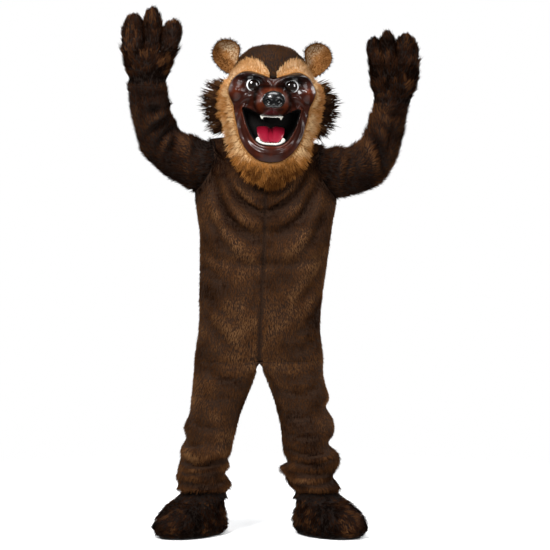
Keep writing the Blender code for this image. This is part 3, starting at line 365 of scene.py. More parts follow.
# %% [markdown]
# ## The pile
#
# Faux fur is acrylic pile knitted into a cloth. Its hairs hang together in small pointed locks that lie along
# the nap and lift a little at their tips. Hair strands would be far too many, so each lock is one tapered
# three-sided spike, closed at its root. A lock's colour depends on two numbers: its own shade, and how far
# along it a point is. Both are kept in the piece's UV map, u for the shade and v from root to tip, so a
# finish is a small chart of the two.
#
# Neighbouring locks lean together into tufts. The nearest of a set of scattered points is the tuft's middle,
# and each lock's tip is pulled part of the way to it. That, more than the single lock, makes pile look like
# pile. Real pile also catches light as one soft surface, because its hairs are far finer than these locks. So
# each lock is shaded mostly with the cloth's own normal, and a little with its own roundness.

# %% Finishes of pile
UV_MAP = "OFBake"


def pile_finish(name, shades, root):
    """Acrylic pile: shades is a ramp over u, and root is one over v that paints shade on the locks near
    the cloth, where they shade each other.
    """
    material, shader = new_finish(name, Roughness=0.62, Specular_IOR_Level=0.02)
    chart = add(material, "UVMap", uv_map=UV_MAP)
    place = add(material, "SeparateXYZ", {"Vector": chart.outputs["UV"]})
    shade = colour_on(material, place.outputs["X"], shades)
    depth = colour_on(material, place.outputs["Y"], root)
    mixed = add(material, "Mix", {"Factor": 1.0, 6: shade, 7: depth}, data_type="RGBA", blend_type="MULTIPLY")
    return painted(material, shader, mixed.outputs[2])


# Painted shade between the locks: these ramps darken each lock toward its root.
SOFT_ROOT_SHADE = ((0.0, "#767676"), (0.5, "#D8D8D8"), (1.0, "#FFFFFF"))
DEPTH = ((0.0, "#4A4A4A"), (0.45, "#C8C8C8"), (1.0, "#FFFFFF"))
brown_pile = pile_finish(
    "acrylic plush, dark brown, knitted pile",
    ((0.0, "#060200"), (0.28, "#2A160A"), (0.55, "#5E3C22"), (1.0, "#A4774E")),
    SOFT_ROOT_SHADE,
)
dark_pile = pile_finish(
    "acrylic long pile, near black, brushed",
    ((0.0, "#0A0402"), (0.5, "#2C190C"), (1.0, "#7A5434")),
    DEPTH,
)
tan_pile = pile_finish(
    "acrylic plush, tan, knitted pile",
    ((0.0, "#3E2008"), (0.5, "#AC7036"), (1.0, "#E6BE8C")),
    SOFT_ROOT_SHADE,
)


def two_tone(name, dark, light, scale, bump_height, **sockets):
    """Two close colours in noise patches, with the same noise as a faint bump."""
    material, shader = new_finish(name, **sockets)
    place = add(material, "TexCoord")
    noise = add(material, "TexNoise", {"Vector": place.outputs["Object"], "Scale": scale, "Detail": 3.0})
    colour = colour_on(material, noise.outputs["Fac"], ((0.3, dark), (0.7, light)))
    bump = add(material, "Bump", {"Height": noise.outputs["Fac"], "Strength": 0.5, "Distance": bump_height})
    return painted(material, shader, colour, bump.outputs["Normal"])


MATT = {"Roughness": 0.9, "Specular_IOR_Level": 0.15}
brown_backing = two_tone("knitted backing, dark brown", "#1C1007", "#342012", 180.0, 0.002, **MATT)
dark_backing = two_tone("knitted backing, near black", "#0C0604", "#1C110A", 180.0, 0.002, **MATT)
tan_backing = two_tone("knitted backing, tan", "#6A4420", "#9A6A3A", 180.0, 0.002, **MATT)

# %% Locks of pile
Pile = namedtuple("Pile", "length width spacing lift droop tuft pull segments")
SUIT_PILE = Pile(0.018, 0.0037, 0.0048, 24.0, 10.0, 0.014, 0.12, 1)
ARM_PILE = SUIT_PILE._replace(length=0.024, width=0.0034, spacing=0.0053, lift=38.0, pull=0.5)
SHAGGY_PILE = Pile(0.028, 0.0036, 0.0054, 44.0, 26.0, 0.026, 0.60, 2)
LOCK_ROUNDNESS = 0.28
LOCK_VARIETY = 0.045
LOCK_TAPER = 0.45
LOCK_HEIGHT = 1.1
LOCK_SINK = 0.15
FLOOR_MARGIN = 0.0015
# How unevenly locks lie, in radians aside and degrees of lift: each by chance, and in soft patches.
SWING = 0.16
SOFT_SWING = 0.30
LIFT = 7
SOFT_LIFT = 8
# Within one lock, one side is a little darker, the other lighter, and its ridge counts as nearer the tip,
# so it takes less of the painted root shade and shows as a faint painted highlight.
SIDE_SHADE = 0.012
RIDGE_LIGHT = 0.05
piled = {"triangles": 0, "locks": 0}


def on_grid(grid, row, column, around):
    """The grid's value between its points: a straight mix of the four round a fractional row and column."""
    rows, columns = grid.shape[:2]
    i = np.clip(np.floor(row).astype(int), 0, rows - 2)
    j = np.floor(column).astype(int)
    if around:
        j, k = j % columns, (j + 1) % columns
    else:
        j = np.clip(j, 0, columns - 2)
        k = j + 1
    s = np.clip(row - i, 0, 1)[:, None]
    t = (column - np.floor(column))[:, None] if around else np.clip(column - j, 0, 1)[:, None]
    return blend(blend(grid[i, j], grid[i, k], t), blend(grid[i + 1, j], grid[i + 1, k], t), s)


def cell_areas(grid, around):
    """The area of each cell, as half the length of the cross product of its diagonals."""
    last = np.roll(grid, -1, 1) if around else grid[:, 1:]
    first = grid if around else grid[:, :-1]
    one = last[1:] - first[:-1]
    two = last[:-1] - first[1:]
    return 0.5 * np.linalg.norm(np.cross(one, two), axis=2)


def scattered(grid, around, spacing, seed):
    """Fractional rows and columns of even random places, one for each square of the given spacing."""
    areas = cell_areas(grid, around)
    random = np.random.default_rng(seed)
    want = areas / spacing**2
    count = np.floor(want + random.random(want.shape)).astype(int)
    i, j = np.indices(count.shape)
    row = np.repeat(i.ravel(), count.ravel())
    column = np.repeat(j.ravel(), count.ravel())
    return row + random.random(len(row)), column + random.random(len(row))


def rooted(outer, around, spacing, seed, centre=None):
    """Places for locks on a cloth's outer grid: their rows, columns, points and unit normals."""
    row, column = scattered(outer, around, spacing, seed)
    normals = unit(on_grid(normals_of(outer, around, centre), row, column, around))
    return row, column, on_grid(outer, row, column, around), normals


def in_surface(vectors, normals):
    """The part of each vector that lies in the surface."""
    return vectors - (vectors * normals).sum(axis=1, keepdims=True) * normals


def swung(first, second, angle):
    """The first direction turned toward the second, a right angle off, by an angle."""
    return first * np.cos(angle)[:, None] + second * np.sin(angle)[:, None]


def lock_faces(segments):
    """Corner numbers of one lock: a triangle at the root, two on each side of a segment, and the point."""
    faces = [(0, 2, 1)]
    for k in range(segments - 1):
        a = 3 * k
        for p, q in ((0, 1), (1, 2), (2, 0)):
            faces += [(a + p, a + q, a + q + 3), (a + p, a + q + 3, a + p + 3)]
    a = 3 * (segments - 1)
    return np.array(faces + [(a, a + 1, a + 3), (a + 1, a + 2, a + 3), (a + 2, a, a + 3)])


def set_chart(obj, values):
    """Writes the UV map that the finishes read, from one pair of numbers for each corner."""
    layer = obj.data.uv_layers.new(name=UV_MAP)
    layer.uv.foreach_set("vector", values.astype(np.float32).reshape(-1))


def grow_pile(name, roots, normals, naps, kind, shade, material, seed, lengths=None):
    """Tapered three-sided locks. The spine leaves at the lift angle and turns toward the nap by the droop,
    the tip is pulled toward its tuft's middle, and the width falls off toward the tip."""
    random = np.random.default_rng(seed)
    count = len(roots)
    naps = unit(in_surface(naps, normals))
    swing = random.normal(0, SWING, count) + SOFT_SWING * soft_noise(roots, 0.07, seed)
    naps = unit(swung(naps, np.cross(normals, naps), swing))
    aside = np.cross(normals, naps)
    length = kind.length * random.uniform(0.75, 1.2, count) * (1 + 0.18 * soft_noise(roots, 0.04, seed + 5))
    if lengths is not None:
        length = length * lengths
    lift = kind.lift + random.normal(0, LIFT, count) + SOFT_LIFT * soft_noise(roots, 0.05, seed + 9)
    start = swung(naps, normals, np.radians(lift))
    end = swung(naps, normals, np.radians(lift) - math.radians(kind.droop))
    lean = in_surface(kind.pull * (nearest_tuft(roots, kind.tuft, seed) - roots), normals)
    base = roots - normals * (LOCK_SINK * kind.length)
    half = kind.width / 2 * random.uniform(0.8, 1.25, count)
    up = np.cross(aside, start)
    up = up * np.sign((up * normals).sum(axis=1, keepdims=True))
    points, outs, charts = [], [], []
    for t in np.linspace(0, 1, kind.segments + 1)[:-1]:
        spine = base + length[:, None] * (start * t + (end - start) * t * t / 2) + lean * t * t
        w = (half * (1 - LOCK_TAPER * t))[:, None]
        points += [spine - aside * w, spine + aside * w, spine + up * w * LOCK_HEIGHT]
        outs += [-aside, aside, up]
        charts += [(-SIDE_SHADE, t), (SIDE_SHADE, t), (0.0, t + RIDGE_LIGHT)]
    points.append(base + length[:, None] * (start + (end - start) / 2) + lean)
    outs.append(end)
    charts.append((0.0, 1.0))
    stack = np.stack(points, axis=1)
    shading = unit(blend(normals[:, None], np.stack(outs, axis=1), LOCK_ROUNDNESS))
    above = stack[:, :, 2].min(axis=1) > level(0.0) + FLOOR_MARGIN
    stack, shading, shade, count = stack[above], shading[above], shade[above], int(above.sum())
    faces = facing_out(stack[0], [lock_faces(kind.segments)])[0]
    numbers = (np.arange(count)[:, None, None] * len(points) + faces[None]).reshape(-1, 3)
    obj = new_mesh(name, stack.reshape(-1, 3), [numbers], material, shading.reshape(-1, 3))
    chart = np.array(charts)
    u = np.clip(shade + random.normal(0, LOCK_VARIETY, count), 0.03, 0.97)[:, None] + chart[None, :, 0]
    v = np.broadcast_to(chart[None, :, 1], u.shape)
    set_chart(obj, np.stack([u, v], axis=2).reshape(-1, 2)[numbers.reshape(-1)])
    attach(obj, "root")
    piled["triangles"] += len(numbers)
    piled["locks"] += count
    print(name, count, "locks,", len(numbers), "triangles")
    return obj


# The seed of the suit's own unevenness. All its panels share it, so that they meet.
SUIT_CLOTH = 5


def body_shade(points, seed=SUIT_CLOTH):
    """How light the pile is, from 0 to 1: soft patches as wide as a hand, finer ones inside, and the chest
    and shoulders a little darker."""
    high = ramp_up(points[:, 2] - level(1.20), 0.14)
    patches = 0.20 * soft_noise(points, 0.11, seed) + 0.12 * soft_noise(points, 0.035, seed + 1)
    return 0.52 - 0.08 * high + patches


# %% [markdown]
# ## The suit's body
#
# The maker cuts two fronts and two backs. Seen from the front, each panel's edge is a smooth line, so a short
# table of heights and widths holds it. A panel's row runs from the centre seam round to the side seam as a
# quarter of a squarish ellipse. The armhole is a slanted loop from the armpit to the shoulder's tip.

# %% Body sizes
HIP_HEIGHT = 0.690
CHEST_HEIGHT = 1.200
LOW_HEIGHTS = (0.690, 0.790, 0.890, 0.985, 1.045, 1.073, 1.108, 1.160)
LOW_ROWS = len(LOW_HEIGHTS)
ARMHOLE_SEAM = 0.0005
ARMHOLE_OPENING = 40.0
BODY_SQUARENESS = 2.5
QUARTER_COLUMNS = 7
ARMHOLE_ROWS = 8
SHOULDER_ROWS = 2
SLEEVE_COLUMNS = 2 * ARMHOLE_ROWS
SLEEVE_TURN = full_turn(SLEEVE_COLUMNS)

# The suit's body, from the hip seam to the armpits: where its side and centre seams run.
Girth = namedtuple("Girth", "height left right middle")
GIRTHS = (
    Girth(0.690, -0.281, 0.240, -0.018),
    Girth(0.770, -0.262, 0.233, -0.016),
    Girth(0.850, -0.267, 0.226, -0.013),
    Girth(0.960, -0.262, 0.240, -0.008),
    Girth(1.080, -0.261, 0.256, -0.001),
    Girth(1.200, -0.261, 0.272, 0.003),
    Girth(1.333, -0.277, 0.289, 0.006),
    Girth(1.600, -0.277, 0.289, 0.008),
)

# The centre front and centre back lines: how far each stands from the side seams' plane.
Line = namedtuple("Line", "height depth")
FRONT_LINE = (
    Line(0.690, 0.135),
    Line(0.770, 0.156),
    Line(0.900, 0.168),
    Line(1.080, 0.168),
    Line(1.230, 0.172),
    Line(1.333, 0.164),
    Line(1.430, 0.138),
    Line(1.505, 0.108),
)
BACK_LINE = (
    Line(0.690, 0.148),
    Line(0.800, 0.170),
    Line(0.950, 0.150),
    Line(1.080, 0.138),
    Line(1.230, 0.148),
    Line(1.350, 0.152),
    Line(1.470, 0.132),
    Line(1.555, 0.095),
)
FRONT_NECK_HEIGHTS = (1.475, 1.505)
BACK_NECK_HEIGHTS = (1.525, 1.555)

# An armhole: a slanted loop from the armpit to the shoulder's tip, and the shoulder seam's end at the neck.
Armhole = namedtuple("Armhole", "armpit_x armpit_height tip_x tip_height neck_x neck_height depth bow")
ARMHOLES = {
    LEFT: Armhole(-0.277, 1.346, -0.205, 1.574, -0.108, 1.583, 0.190, 0.040),
    RIGHT: Armhole(0.289, 1.320, 0.225, 1.548, 0.124, 1.566, 0.190, 0.040),
}

# Soft cowl folds that hang in a U from the shoulders: the height where each crosses the centre, its depth.
Cowl = namedtuple("Cowl", "height depth")
COWLS = (
    Cowl(1.303, 0.014),
    Cowl(1.200, 0.013),
    Cowl(1.073, 0.011),
)
COWL_WIDTH = 0.022

# %% Body panels
def armhole_loop(side, angle):
    """Points of the armhole: angle 0 is the armpit, a quarter turn the front, half a turn the tip."""
    hole = ARMHOLES[side]
    t = (1 - np.cos(angle)) / 2
    x = blend(hole.armpit_x, hole.tip_x, t) - side * hole.bow * np.sin(angle) ** 2
    y = -hole.depth / 2 * np.sin(angle)
    return points_of(x, y, level(blend(hole.armpit_height, hole.tip_height, t)))


def cowl_sink(centre_height):
    """How far the chest folds sink the row that crosses the centre at a height, with a crest above each."""
    sunk = np.zeros_like(centre_height)
    for fold in COWLS:
        above = (centre_height - fold.height) / COWL_WIDTH
        sunk += fold.depth * (np.exp(-(above**2)) - 0.5 * np.exp(-((above - 1.6) ** 2)))
    return sunk


def torso_panel(side, face):
    """One quarter of the suit's body: a grid of rows from the hip up, columns from the centre to the side."""
    hole = ARMHOLES[side]
    line = FRONT_LINE if face == FRONT else BACK_LINE
    neck_low, neck_top = FRONT_NECK_HEIGHTS if face == FRONT else BACK_NECK_HEIGHTS
    low = (np.array(LOW_HEIGHTS) - HIP_HEIGHT) / (CHEST_HEIGHT - HIP_HEIGHT)
    arm = np.linspace(0, 1, ARMHOLE_ROWS + 1)
    top = np.linspace(0, 1, SHOULDER_ROWS + 1)[1:]
    low_centre = blend(HIP_HEIGHT, CHEST_HEIGHT, low)
    arm_centre = blend(CHEST_HEIGHT, neck_low, arm)
    centre_height = np.concatenate([low_centre, arm_centre, blend(neck_low, neck_top, top)])
    centre = points_of(
        curve_through(GIRTHS, centre_height, "middle") + side * SEAM / 2,
        face * curve_through(line, centre_height, "depth"),
        level(centre_height),
    )
    side_height = blend(HIP_HEIGHT, hole.armpit_height, low)
    side_x = curve_through(GIRTHS, side_height, "left" if side == LEFT else "right")
    edge_low = points_of(side_x, face * SEAM / 2, level(side_height))
    edge_arm = armhole_loop(side, math.pi * arm) * [1.0, -face, 1.0]
    edge_arm[[0, -1], 1] = face * SEAM / 2
    shoulder_x = blend(hole.tip_x, hole.neck_x, top)
    shoulder_height = blend(hole.tip_height, hole.neck_height, top)
    edge_top = points_of(shoulder_x, face * SEAM / 2, level(shoulder_height))
    edge = np.concatenate([edge_low, edge_arm, edge_top])
    softening = np.linspace(BODY_SQUARENESS, 2.0, len(arm))
    squareness = np.concatenate([np.full(len(low), BODY_SQUARENESS), softening, np.full(len(top), 2.0)])
    u = np.linspace(0, 1, QUARTER_COLUMNS + 1)
    quarter = np.full(len(centre), math.pi / 2)
    quarter[LOW_ROWS : LOW_ROWS + len(arm)] -= math.radians(ARMHOLE_OPENING) * np.sin(math.pi * arm)
    c, s = rounded(u[None, :] * quarter[:, None], squareness[:, None])
    x = centre[:, None, 0] + (edge - centre)[:, None, 0] * s / s[:, -1:]
    y = edge[:, None, 1] + (centre - edge)[:, None, 1] * (c - c[:, -1:]) / (1 - c[:, -1:])
    z = centre[:, None, 2] + (edge - centre)[:, None, 2] * u[None, :] ** 2
    grid = points_of(x, y, z)
    if face == FRONT:
        grid[:, :, 1] += cowl_sink(centre_height)[:, None] * (1 - u**2)[None, :]
    return grid


# %% [markdown]
# ## Creases
#
# Long pile hides small wrinkles but not the folds. They run between the places that pull on the cloth: from
# the raised shoulders in a U across the chest, round the bent elbows, and in rolls above the ankles. Each is
# a line through three points seen from the front, a soft trough or ridge with its own depth and width that
# fades out at both ends. The back, which a view from the front never shows, has a table of its own.

# %% Folds
# How strongly the folds are painted: shade in the troughs, highlight on the ridges.
PAINTED_FOLD_SHADING = 14.0
Fold = namedtuple("Fold", "x1 h1 x2 h2 x3 h3 depth width")


def fold_relief(grid, folds):
    """How far folds push each point in: for each, a quadratic curve seen from the front, a bell across it
    whose width is the fold's, and a rise and fall along it. Positive depths are troughs."""
    x, h = grid[..., 0], grid[..., 2] + SHOULDER_HEIGHT
    pushed = np.zeros_like(x)
    t = np.linspace(0, 1, 25)
    for fold in folds:
        middle_x = 2 * fold.x2 - (fold.x1 + fold.x3) / 2
        middle_h = 2 * fold.h2 - (fold.h1 + fold.h3) / 2
        line_x = (1 - t) ** 2 * fold.x1 + 2 * t * (1 - t) * middle_x + t * t * fold.x3
        line_h = (1 - t) ** 2 * fold.h1 + 2 * t * (1 - t) * middle_h + t * t * fold.h3
        gap = np.hypot(x[..., None] - line_x, h[..., None] - line_h)
        at = gap.argmin(axis=-1)
        ends = np.sin(math.pi * np.clip(t, 0.04, 0.96)) ** 0.6
        pushed += fold.depth * bell(gap.min(axis=-1), fold.width) * ends[at]
    return pushed


def creased(grid, normals, folds, face):
    """The grid with its folds pressed in along the normals where the surface faces the given way."""
    facing = np.clip(normals[..., 1] * face * 1.6, 0, 1)
    return grid - normals * (fold_relief(grid, folds) * facing)[..., None]


def painted_fold_shading(points, folds):
    """How much painted shade darkens the pile in a trough, and how much a painted highlight
    lightens it on a ridge.
    """
    return PAINTED_FOLD_SHADING * fold_relief(points, folds)


def rumpled(grid, normals, size, depth, seed):
    """Small uneven hollows and rises all over, as cloth has that was packed before."""
    return grid + normals * (depth * soft_noise(grid, size, seed))[..., None]


# %% Folds of the body
CHEST_FOLDS = (
    Fold(-0.150, 1.450, -0.098, 1.332, 0.012, 1.258, 0.016, 0.018),
    Fold(-0.172, 1.430, -0.126, 1.310, -0.050, 1.236, -0.008, 0.018),
    Fold(-0.190, 1.420, -0.140, 1.262, 0.012, 1.148, 0.028, 0.022),
    Fold(-0.206, 1.380, -0.162, 1.220, -0.040, 1.110, -0.012, 0.020),
    Fold(-0.222, 1.330, -0.186, 1.190, -0.100, 1.090, 0.016, 0.022),
    Fold(0.165, 1.450, 0.112, 1.342, -0.010, 1.268, 0.020, 0.018),
    Fold(0.186, 1.430, 0.136, 1.316, 0.050, 1.250, -0.008, 0.018),
    Fold(0.208, 1.400, 0.146, 1.266, 0.030, 1.196, 0.022, 0.022),
    Fold(0.222, 1.360, 0.176, 1.210, 0.060, 1.110, -0.010, 0.020),
    Fold(0.236, 1.300, 0.204, 1.190, 0.120, 1.070, 0.018, 0.024),
    Fold(-0.236, 1.240, -0.222, 1.170, -0.196, 1.110, 0.012, 0.018),
    Fold(-0.236, 1.080, -0.205, 1.040, -0.165, 1.010, 0.010, 0.018),
    Fold(-0.230, 0.990, -0.196, 0.920, -0.120, 0.850, 0.018, 0.022),
    Fold(-0.245, 0.900, -0.200, 0.820, -0.110, 0.735, 0.016, 0.024),
    Fold(-0.215, 0.960, -0.170, 0.880, -0.090, 0.800, -0.008, 0.018),
    Fold(0.232, 1.090, 0.190, 0.980, 0.110, 0.880, 0.018, 0.024),
    Fold(0.224, 1.010, 0.170, 0.930, 0.080, 0.850, -0.008, 0.020),
    Fold(0.232, 0.930, 0.190, 0.850, 0.090, 0.790, 0.016, 0.022),
    Fold(0.235, 0.830, 0.180, 0.765, 0.060, 0.720, 0.010, 0.022),
    Fold(-0.125, 1.430, -0.062, 1.335, 0.020, 1.302, -0.016, 0.013),
    Fold(0.135, 1.430, 0.078, 1.345, 0.000, 1.302, -0.016, 0.013),
    Fold(-0.100, 1.370, -0.045, 1.306, 0.030, 1.280, 0.014, 0.010),
    Fold(0.110, 1.380, 0.060, 1.316, -0.010, 1.280, 0.014, 0.010),
    Fold(-0.060, 1.030, -0.020, 1.000, 0.060, 0.985, 0.006, 0.018),
    Fold(-0.090, 0.960, -0.050, 0.920, 0.000, 0.905, 0.007, 0.020),
)
BACK_FOLDS = (
    Fold(-0.180, 1.430, -0.100, 1.330, -0.006, 1.300, 0.013, 0.024),
    Fold(0.190, 1.420, 0.110, 1.320, 0.006, 1.290, 0.012, 0.024),
    Fold(-0.215, 1.330, -0.120, 1.200, -0.008, 1.150, 0.012, 0.026),
    Fold(0.225, 1.300, 0.140, 1.190, 0.006, 1.155, 0.011, 0.026),
    Fold(-0.230, 1.080, -0.140, 1.000, -0.030, 0.975, 0.012, 0.026),
    Fold(0.225, 1.060, 0.130, 0.990, 0.020, 0.965, 0.013, 0.028),
    Fold(-0.225, 0.960, -0.130, 0.900, -0.020, 0.890, -0.009, 0.024),
    Fold(0.215, 0.930, 0.120, 0.880, 0.020, 0.870, -0.008, 0.024),
    Fold(-0.240, 0.850, -0.130, 0.770, -0.012, 0.730, 0.010, 0.026),
    Fold(0.215, 0.840, 0.120, 0.760, 0.012, 0.725, 0.011, 0.026),
)

# %% [markdown]
# ## Body cloth and its pile
#
# The visible cloth is the panel set back by the pile's depth, so that the tips of the locks reach the packed
# solid's face. The panel's edges stay in the planes of their seams. Along the centre front, the pile parts
# over the closing seam, which shows as a dark line from the beard down, with a painted shadow along it.

# %% Body panels, dressed
CLOTH = 0.003
SUIT_SET_BACK = 0.0085
SEAM_DIP = 0.006
SEAM_REACH = 0.010
FINE_ROWS = 4
# The pile parts over the centre seam. Beside the parting it grows to its full length and lies aside over
# these widths. It is longer above SHOULDER_PILE, and hangs unevenly over the hip seam.
PARTING = 0.0025
PARTING_GROWTH = 0.020
PARTING_SPREAD = 0.014
SHOULDER_PILE = 1.40
HIP_BAND = 0.012
# How far the shade of each seam spreads.
CENTRE_SHADOW = 0.006
ARMHOLE_SHADOW = 0.018
# A point well inside the body, which its panels' normals point away from.
BODY_MIDDLE = np.array([0.0, 0.0, -0.3])
# A panel laid flat: wider than it looks from the front, and longer for the curve of its cutting line.
PANEL_WRAP = 1.25
PANEL_SPARE = 1.15
# What a piece of fur cloth is made of: the finish of its pile, that of its backing, and its colour's slot.
Fur = namedtuple("Fur", "pile backing slot")
BODY_FUR = Fur(brown_pile, brown_backing, "fur_brown")
LIMB_FUR = Fur(brown_pile, dark_backing, "fur_brown")


def distance_to(points, line):
    """How far each point is from the nearest point of a line."""
    return np.sqrt(((points[:, None] - line[None]) ** 2).sum(axis=2).min(axis=1))


def set_in(rings, depth, rows, around=True, centre=None):
    """Rings moved in by a depth, with the given rows, which lie at seams, kept at their own heights."""
    inner = rings - depth * normals_of(rings, around, centre)
    inner[rows, :, 2] = rings[rows, :, 2]
    return inner


def declare(cloth, name, flat, area):
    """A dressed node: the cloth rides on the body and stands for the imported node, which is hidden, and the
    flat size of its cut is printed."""
    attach(cloth, "root")
    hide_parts(name)
    print(name, "flat", round(flat[0], 3), "by", round(flat[1], 3), "area", round(area, 4))


def set_back(grid, depth, side):
    """A panel moved in by depth along its normals, with its edges kept in the planes of their seams and its
    armhole moved toward the armhole's middle."""
    inner = grid - depth * normals_of(grid, False, BODY_MIDDLE)
    arm = slice(LOW_ROWS, LOW_ROWS + ARMHOLE_ROWS + 1)
    middle = armhole_loop(side, SLEEVE_TURN).mean(axis=0)
    way = middle - grid[arm, -1]
    inner[arm, -1] = grid[arm, -1] + depth * way / np.linalg.norm(way, axis=1).mean()
    inner[:, 0, 0] = grid[:, 0, 0]
    inner[: LOW_ROWS + 1, -1, 1] = grid[: LOW_ROWS + 1, -1, 1]
    inner[LOW_ROWS + ARMHOLE_ROWS :, -1, 1] = grid[LOW_ROWS + ARMHOLE_ROWS :, -1, 1]
    inner[0, :, 2] = grid[0, :, 2]
    return inner


def dress_panel(name, side, face, seed):
    """One body panel: its cloth, with the folds and the seams' dips, and its pile, which hangs down."""
    coarse = torso_panel(side, face)
    folds = CHEST_FOLDS if face == FRONT else BACK_FOLDS
    sheets = []
    for depth in (SUIT_SET_BACK, SUIT_SET_BACK + CLOTH):
        grid = fine(set_back(coarse, depth, side), FINE_ROWS, 4, False)
        normals = normals_of(grid, False, BODY_MIDDLE)
        grid = creased(grid, normals, folds, face)
        grid = rumpled(grid, normals, 0.09, 0.0022, SUIT_CLOTH)
        dip = SEAM_DIP * bell(grid[..., 0] - grid[:, :1, 0], SEAM_REACH)
        sheets.append(grid - normals * dip[..., None])
    outer, inner = sheets
    cloth = closed_wall(f"cloth_{name}", outer, inner, False, BODY_FUR.backing)
    row, column, roots, normals = rooted(outer, False, SUIT_PILE.spacing, seed, BODY_MIDDLE)
    parted = np.abs(roots[:, 0] - on_grid(outer[:, :1].repeat(2, 1), row, 0 * column, False)[:, 0])
    keep = parted > PARTING
    high = ramp_up(roots[:, 2] - level(SHOULDER_PILE), 0.05)
    uneven = bell(roots[:, 2] - level(HIP_HEIGHT), HIP_BAND) * soft_noise(roots, HIP_BAND / 2, seed)
    lengths = np.clip(0.45 + parted / PARTING_GROWTH, 0, 1) + 0.7 * high + 0.5 * uneven
    down = np.array([0.0, 0.0, -1.0]) + 0.25 * normals * [1.0, 0.0, 0.0]
    away = np.sign(side) * bell(parted, PARTING_SPREAD)
    naps = down + away[:, None] * np.array([0.5, 0.0, 0.0])
    from_arm = distance_to(roots, outer[FINE_ROWS * LOW_ROWS : FINE_ROWS * (LOW_ROWS + ARMHOLE_ROWS) + 1, -1])
    # Painted shadows beside the parting over the centre seam and along the armhole seam.
    seams = 0.25 * bell(parted, CENTRE_SHADOW) + 0.28 * bell(from_arm, ARMHOLE_SHADOW)
    # Painted fold shading: darker in the troughs, lighter on the ridges.
    shade = body_shade(roots) - seams - painted_fold_shading(roots, folds)
    pile = grow_pile(
        f"pile_{name}", roots[keep], normals[keep], naps[keep], SUIT_PILE, shade[keep], BODY_FUR.pile, seed,
        lengths[keep],
    )
    area = float(cell_areas(outer, False).sum())
    width = float(np.ptp(outer[..., 0])) * PANEL_WRAP
    declare(cloth, name, (width, area / width * PANEL_SPARE), area)


for side_name, side in SIDES.items():
    dress_panel(f"suit_front_{side_name}", side, FRONT, 11 + side)
    dress_panel(f"suit_back_{side_name}", side, BACK, 21 + side)


# %% [markdown]
# ## Sleeves and legs
#
# Sleeves and legs are tubes of the same plush. The raised arms push each sleeve into rolls at the elbow, and
# the trouser legs stack in rolls above the ankles. The nap of a cut sleeve runs from the shoulder to the
# wrist, and that of a leg runs down.

# %% Limb sizes
# The sleeves, from the armhole to the cuff. Each section spans from the arm's outer line to its inner line.
Section = namedtuple("Section", "outer_x outer_height inner_x inner_height depth forward")
SLEEVES = {
    LEFT: (
        Section(-0.301, 1.362, -0.234, 1.564, 0.196, 0.000),
        Section(-0.341, 1.386, -0.271, 1.582, 0.186, 0.004),
        Section(-0.384, 1.412, -0.305, 1.590, 0.190, 0.010),
        Section(-0.428, 1.447, -0.333, 1.610, 0.174, 0.018),
        Section(-0.463, 1.481, -0.343, 1.634, 0.178, 0.026),
        Section(-0.489, 1.517, -0.362, 1.662, 0.164, 0.034),
        Section(-0.501, 1.560, -0.366, 1.684, 0.170, 0.040),
        Section(-0.515, 1.612, -0.361, 1.704, 0.158, 0.046),
        Section(-0.529, 1.671, -0.369, 1.727, 0.160, 0.052),
        Section(-0.536, 1.723, -0.371, 1.747, 0.148, 0.056),
        Section(-0.539, 1.772, -0.377, 1.770, 0.148, 0.060),
    ),
    RIGHT: (
        Section(0.329, 1.331, 0.249, 1.533, 0.196, 0.000),
        Section(0.368, 1.342, 0.286, 1.539, 0.186, 0.004),
        Section(0.408, 1.358, 0.323, 1.535, 0.190, 0.010),
        Section(0.447, 1.378, 0.352, 1.550, 0.174, 0.018),
        Section(0.483, 1.408, 0.376, 1.564, 0.178, 0.026),
        Section(0.511, 1.449, 0.391, 1.594, 0.164, 0.034),
        Section(0.530, 1.497, 0.404, 1.624, 0.170, 0.040),
        Section(0.543, 1.548, 0.411, 1.658, 0.158, 0.046),
        Section(0.556, 1.600, 0.418, 1.671, 0.160, 0.050),
        Section(0.564, 1.647, 0.419, 1.681, 0.148, 0.054),
        Section(0.571, 1.689, 0.424, 1.692, 0.148, 0.058),
    ),
}

CROTCH_COLUMNS = 5
LEG_SQUARENESS = 2.2
LEG_SET_BACK = 0.006
# The legs below the hip seam: the outer and inner outline, the depth, and how far a section tips sideways.
Leg = namedtuple("Leg", "height outer inner depth tip")
LEGS = {
    LEFT: (
        Leg(0.625, -0.288, -0.034, 0.290, 0.000),
        Leg(0.546, -0.295, -0.060, 0.272, 0.000),
        Leg(0.480, -0.301, -0.088, 0.256, 0.004),
        Leg(0.418, -0.322, -0.105, 0.250, 0.008),
        Leg(0.374, -0.316, -0.117, 0.232, 0.010),
        Leg(0.332, -0.334, -0.126, 0.246, 0.008),
        Leg(0.300, -0.338, -0.136, 0.226, 0.004),
        Leg(0.262, -0.347, -0.134, 0.244, -0.006),
        Leg(0.230, -0.353, -0.148, 0.228, -0.010),
        Leg(0.205, -0.344, -0.136, 0.222, -0.010),
        Leg(0.180, -0.354, -0.122, 0.242, -0.006),
    ),
    RIGHT: (
        Leg(0.625, 0.242, 0.006, 0.290, 0.000),
        Leg(0.546, 0.266, 0.028, 0.272, 0.000),
        Leg(0.500, 0.254, 0.042, 0.252, -0.004),
        Leg(0.440, 0.280, 0.058, 0.252, -0.010),
        Leg(0.384, 0.284, 0.066, 0.248, -0.016),
        Leg(0.342, 0.262, 0.074, 0.222, -0.018),
        Leg(0.300, 0.298, 0.089, 0.248, -0.014),
        Leg(0.266, 0.300, 0.064, 0.246, -0.006),
        Leg(0.230, 0.280, 0.078, 0.222, 0.000),
        Leg(0.200, 0.296, 0.086, 0.236, 0.004),
        Leg(0.180, 0.306, 0.104, 0.230, 0.000),
    ),
}
HEM_RADIUS = 0.0875
HEM_HEIGHTS = (0.160, 0.151)
CROTCH_ANGLE = 50.0
# The middle of each ankle seen from above: x, then y.
ANKLES = {LEFT: (-0.238, 0.012), RIGHT: (0.206, 0.012)}

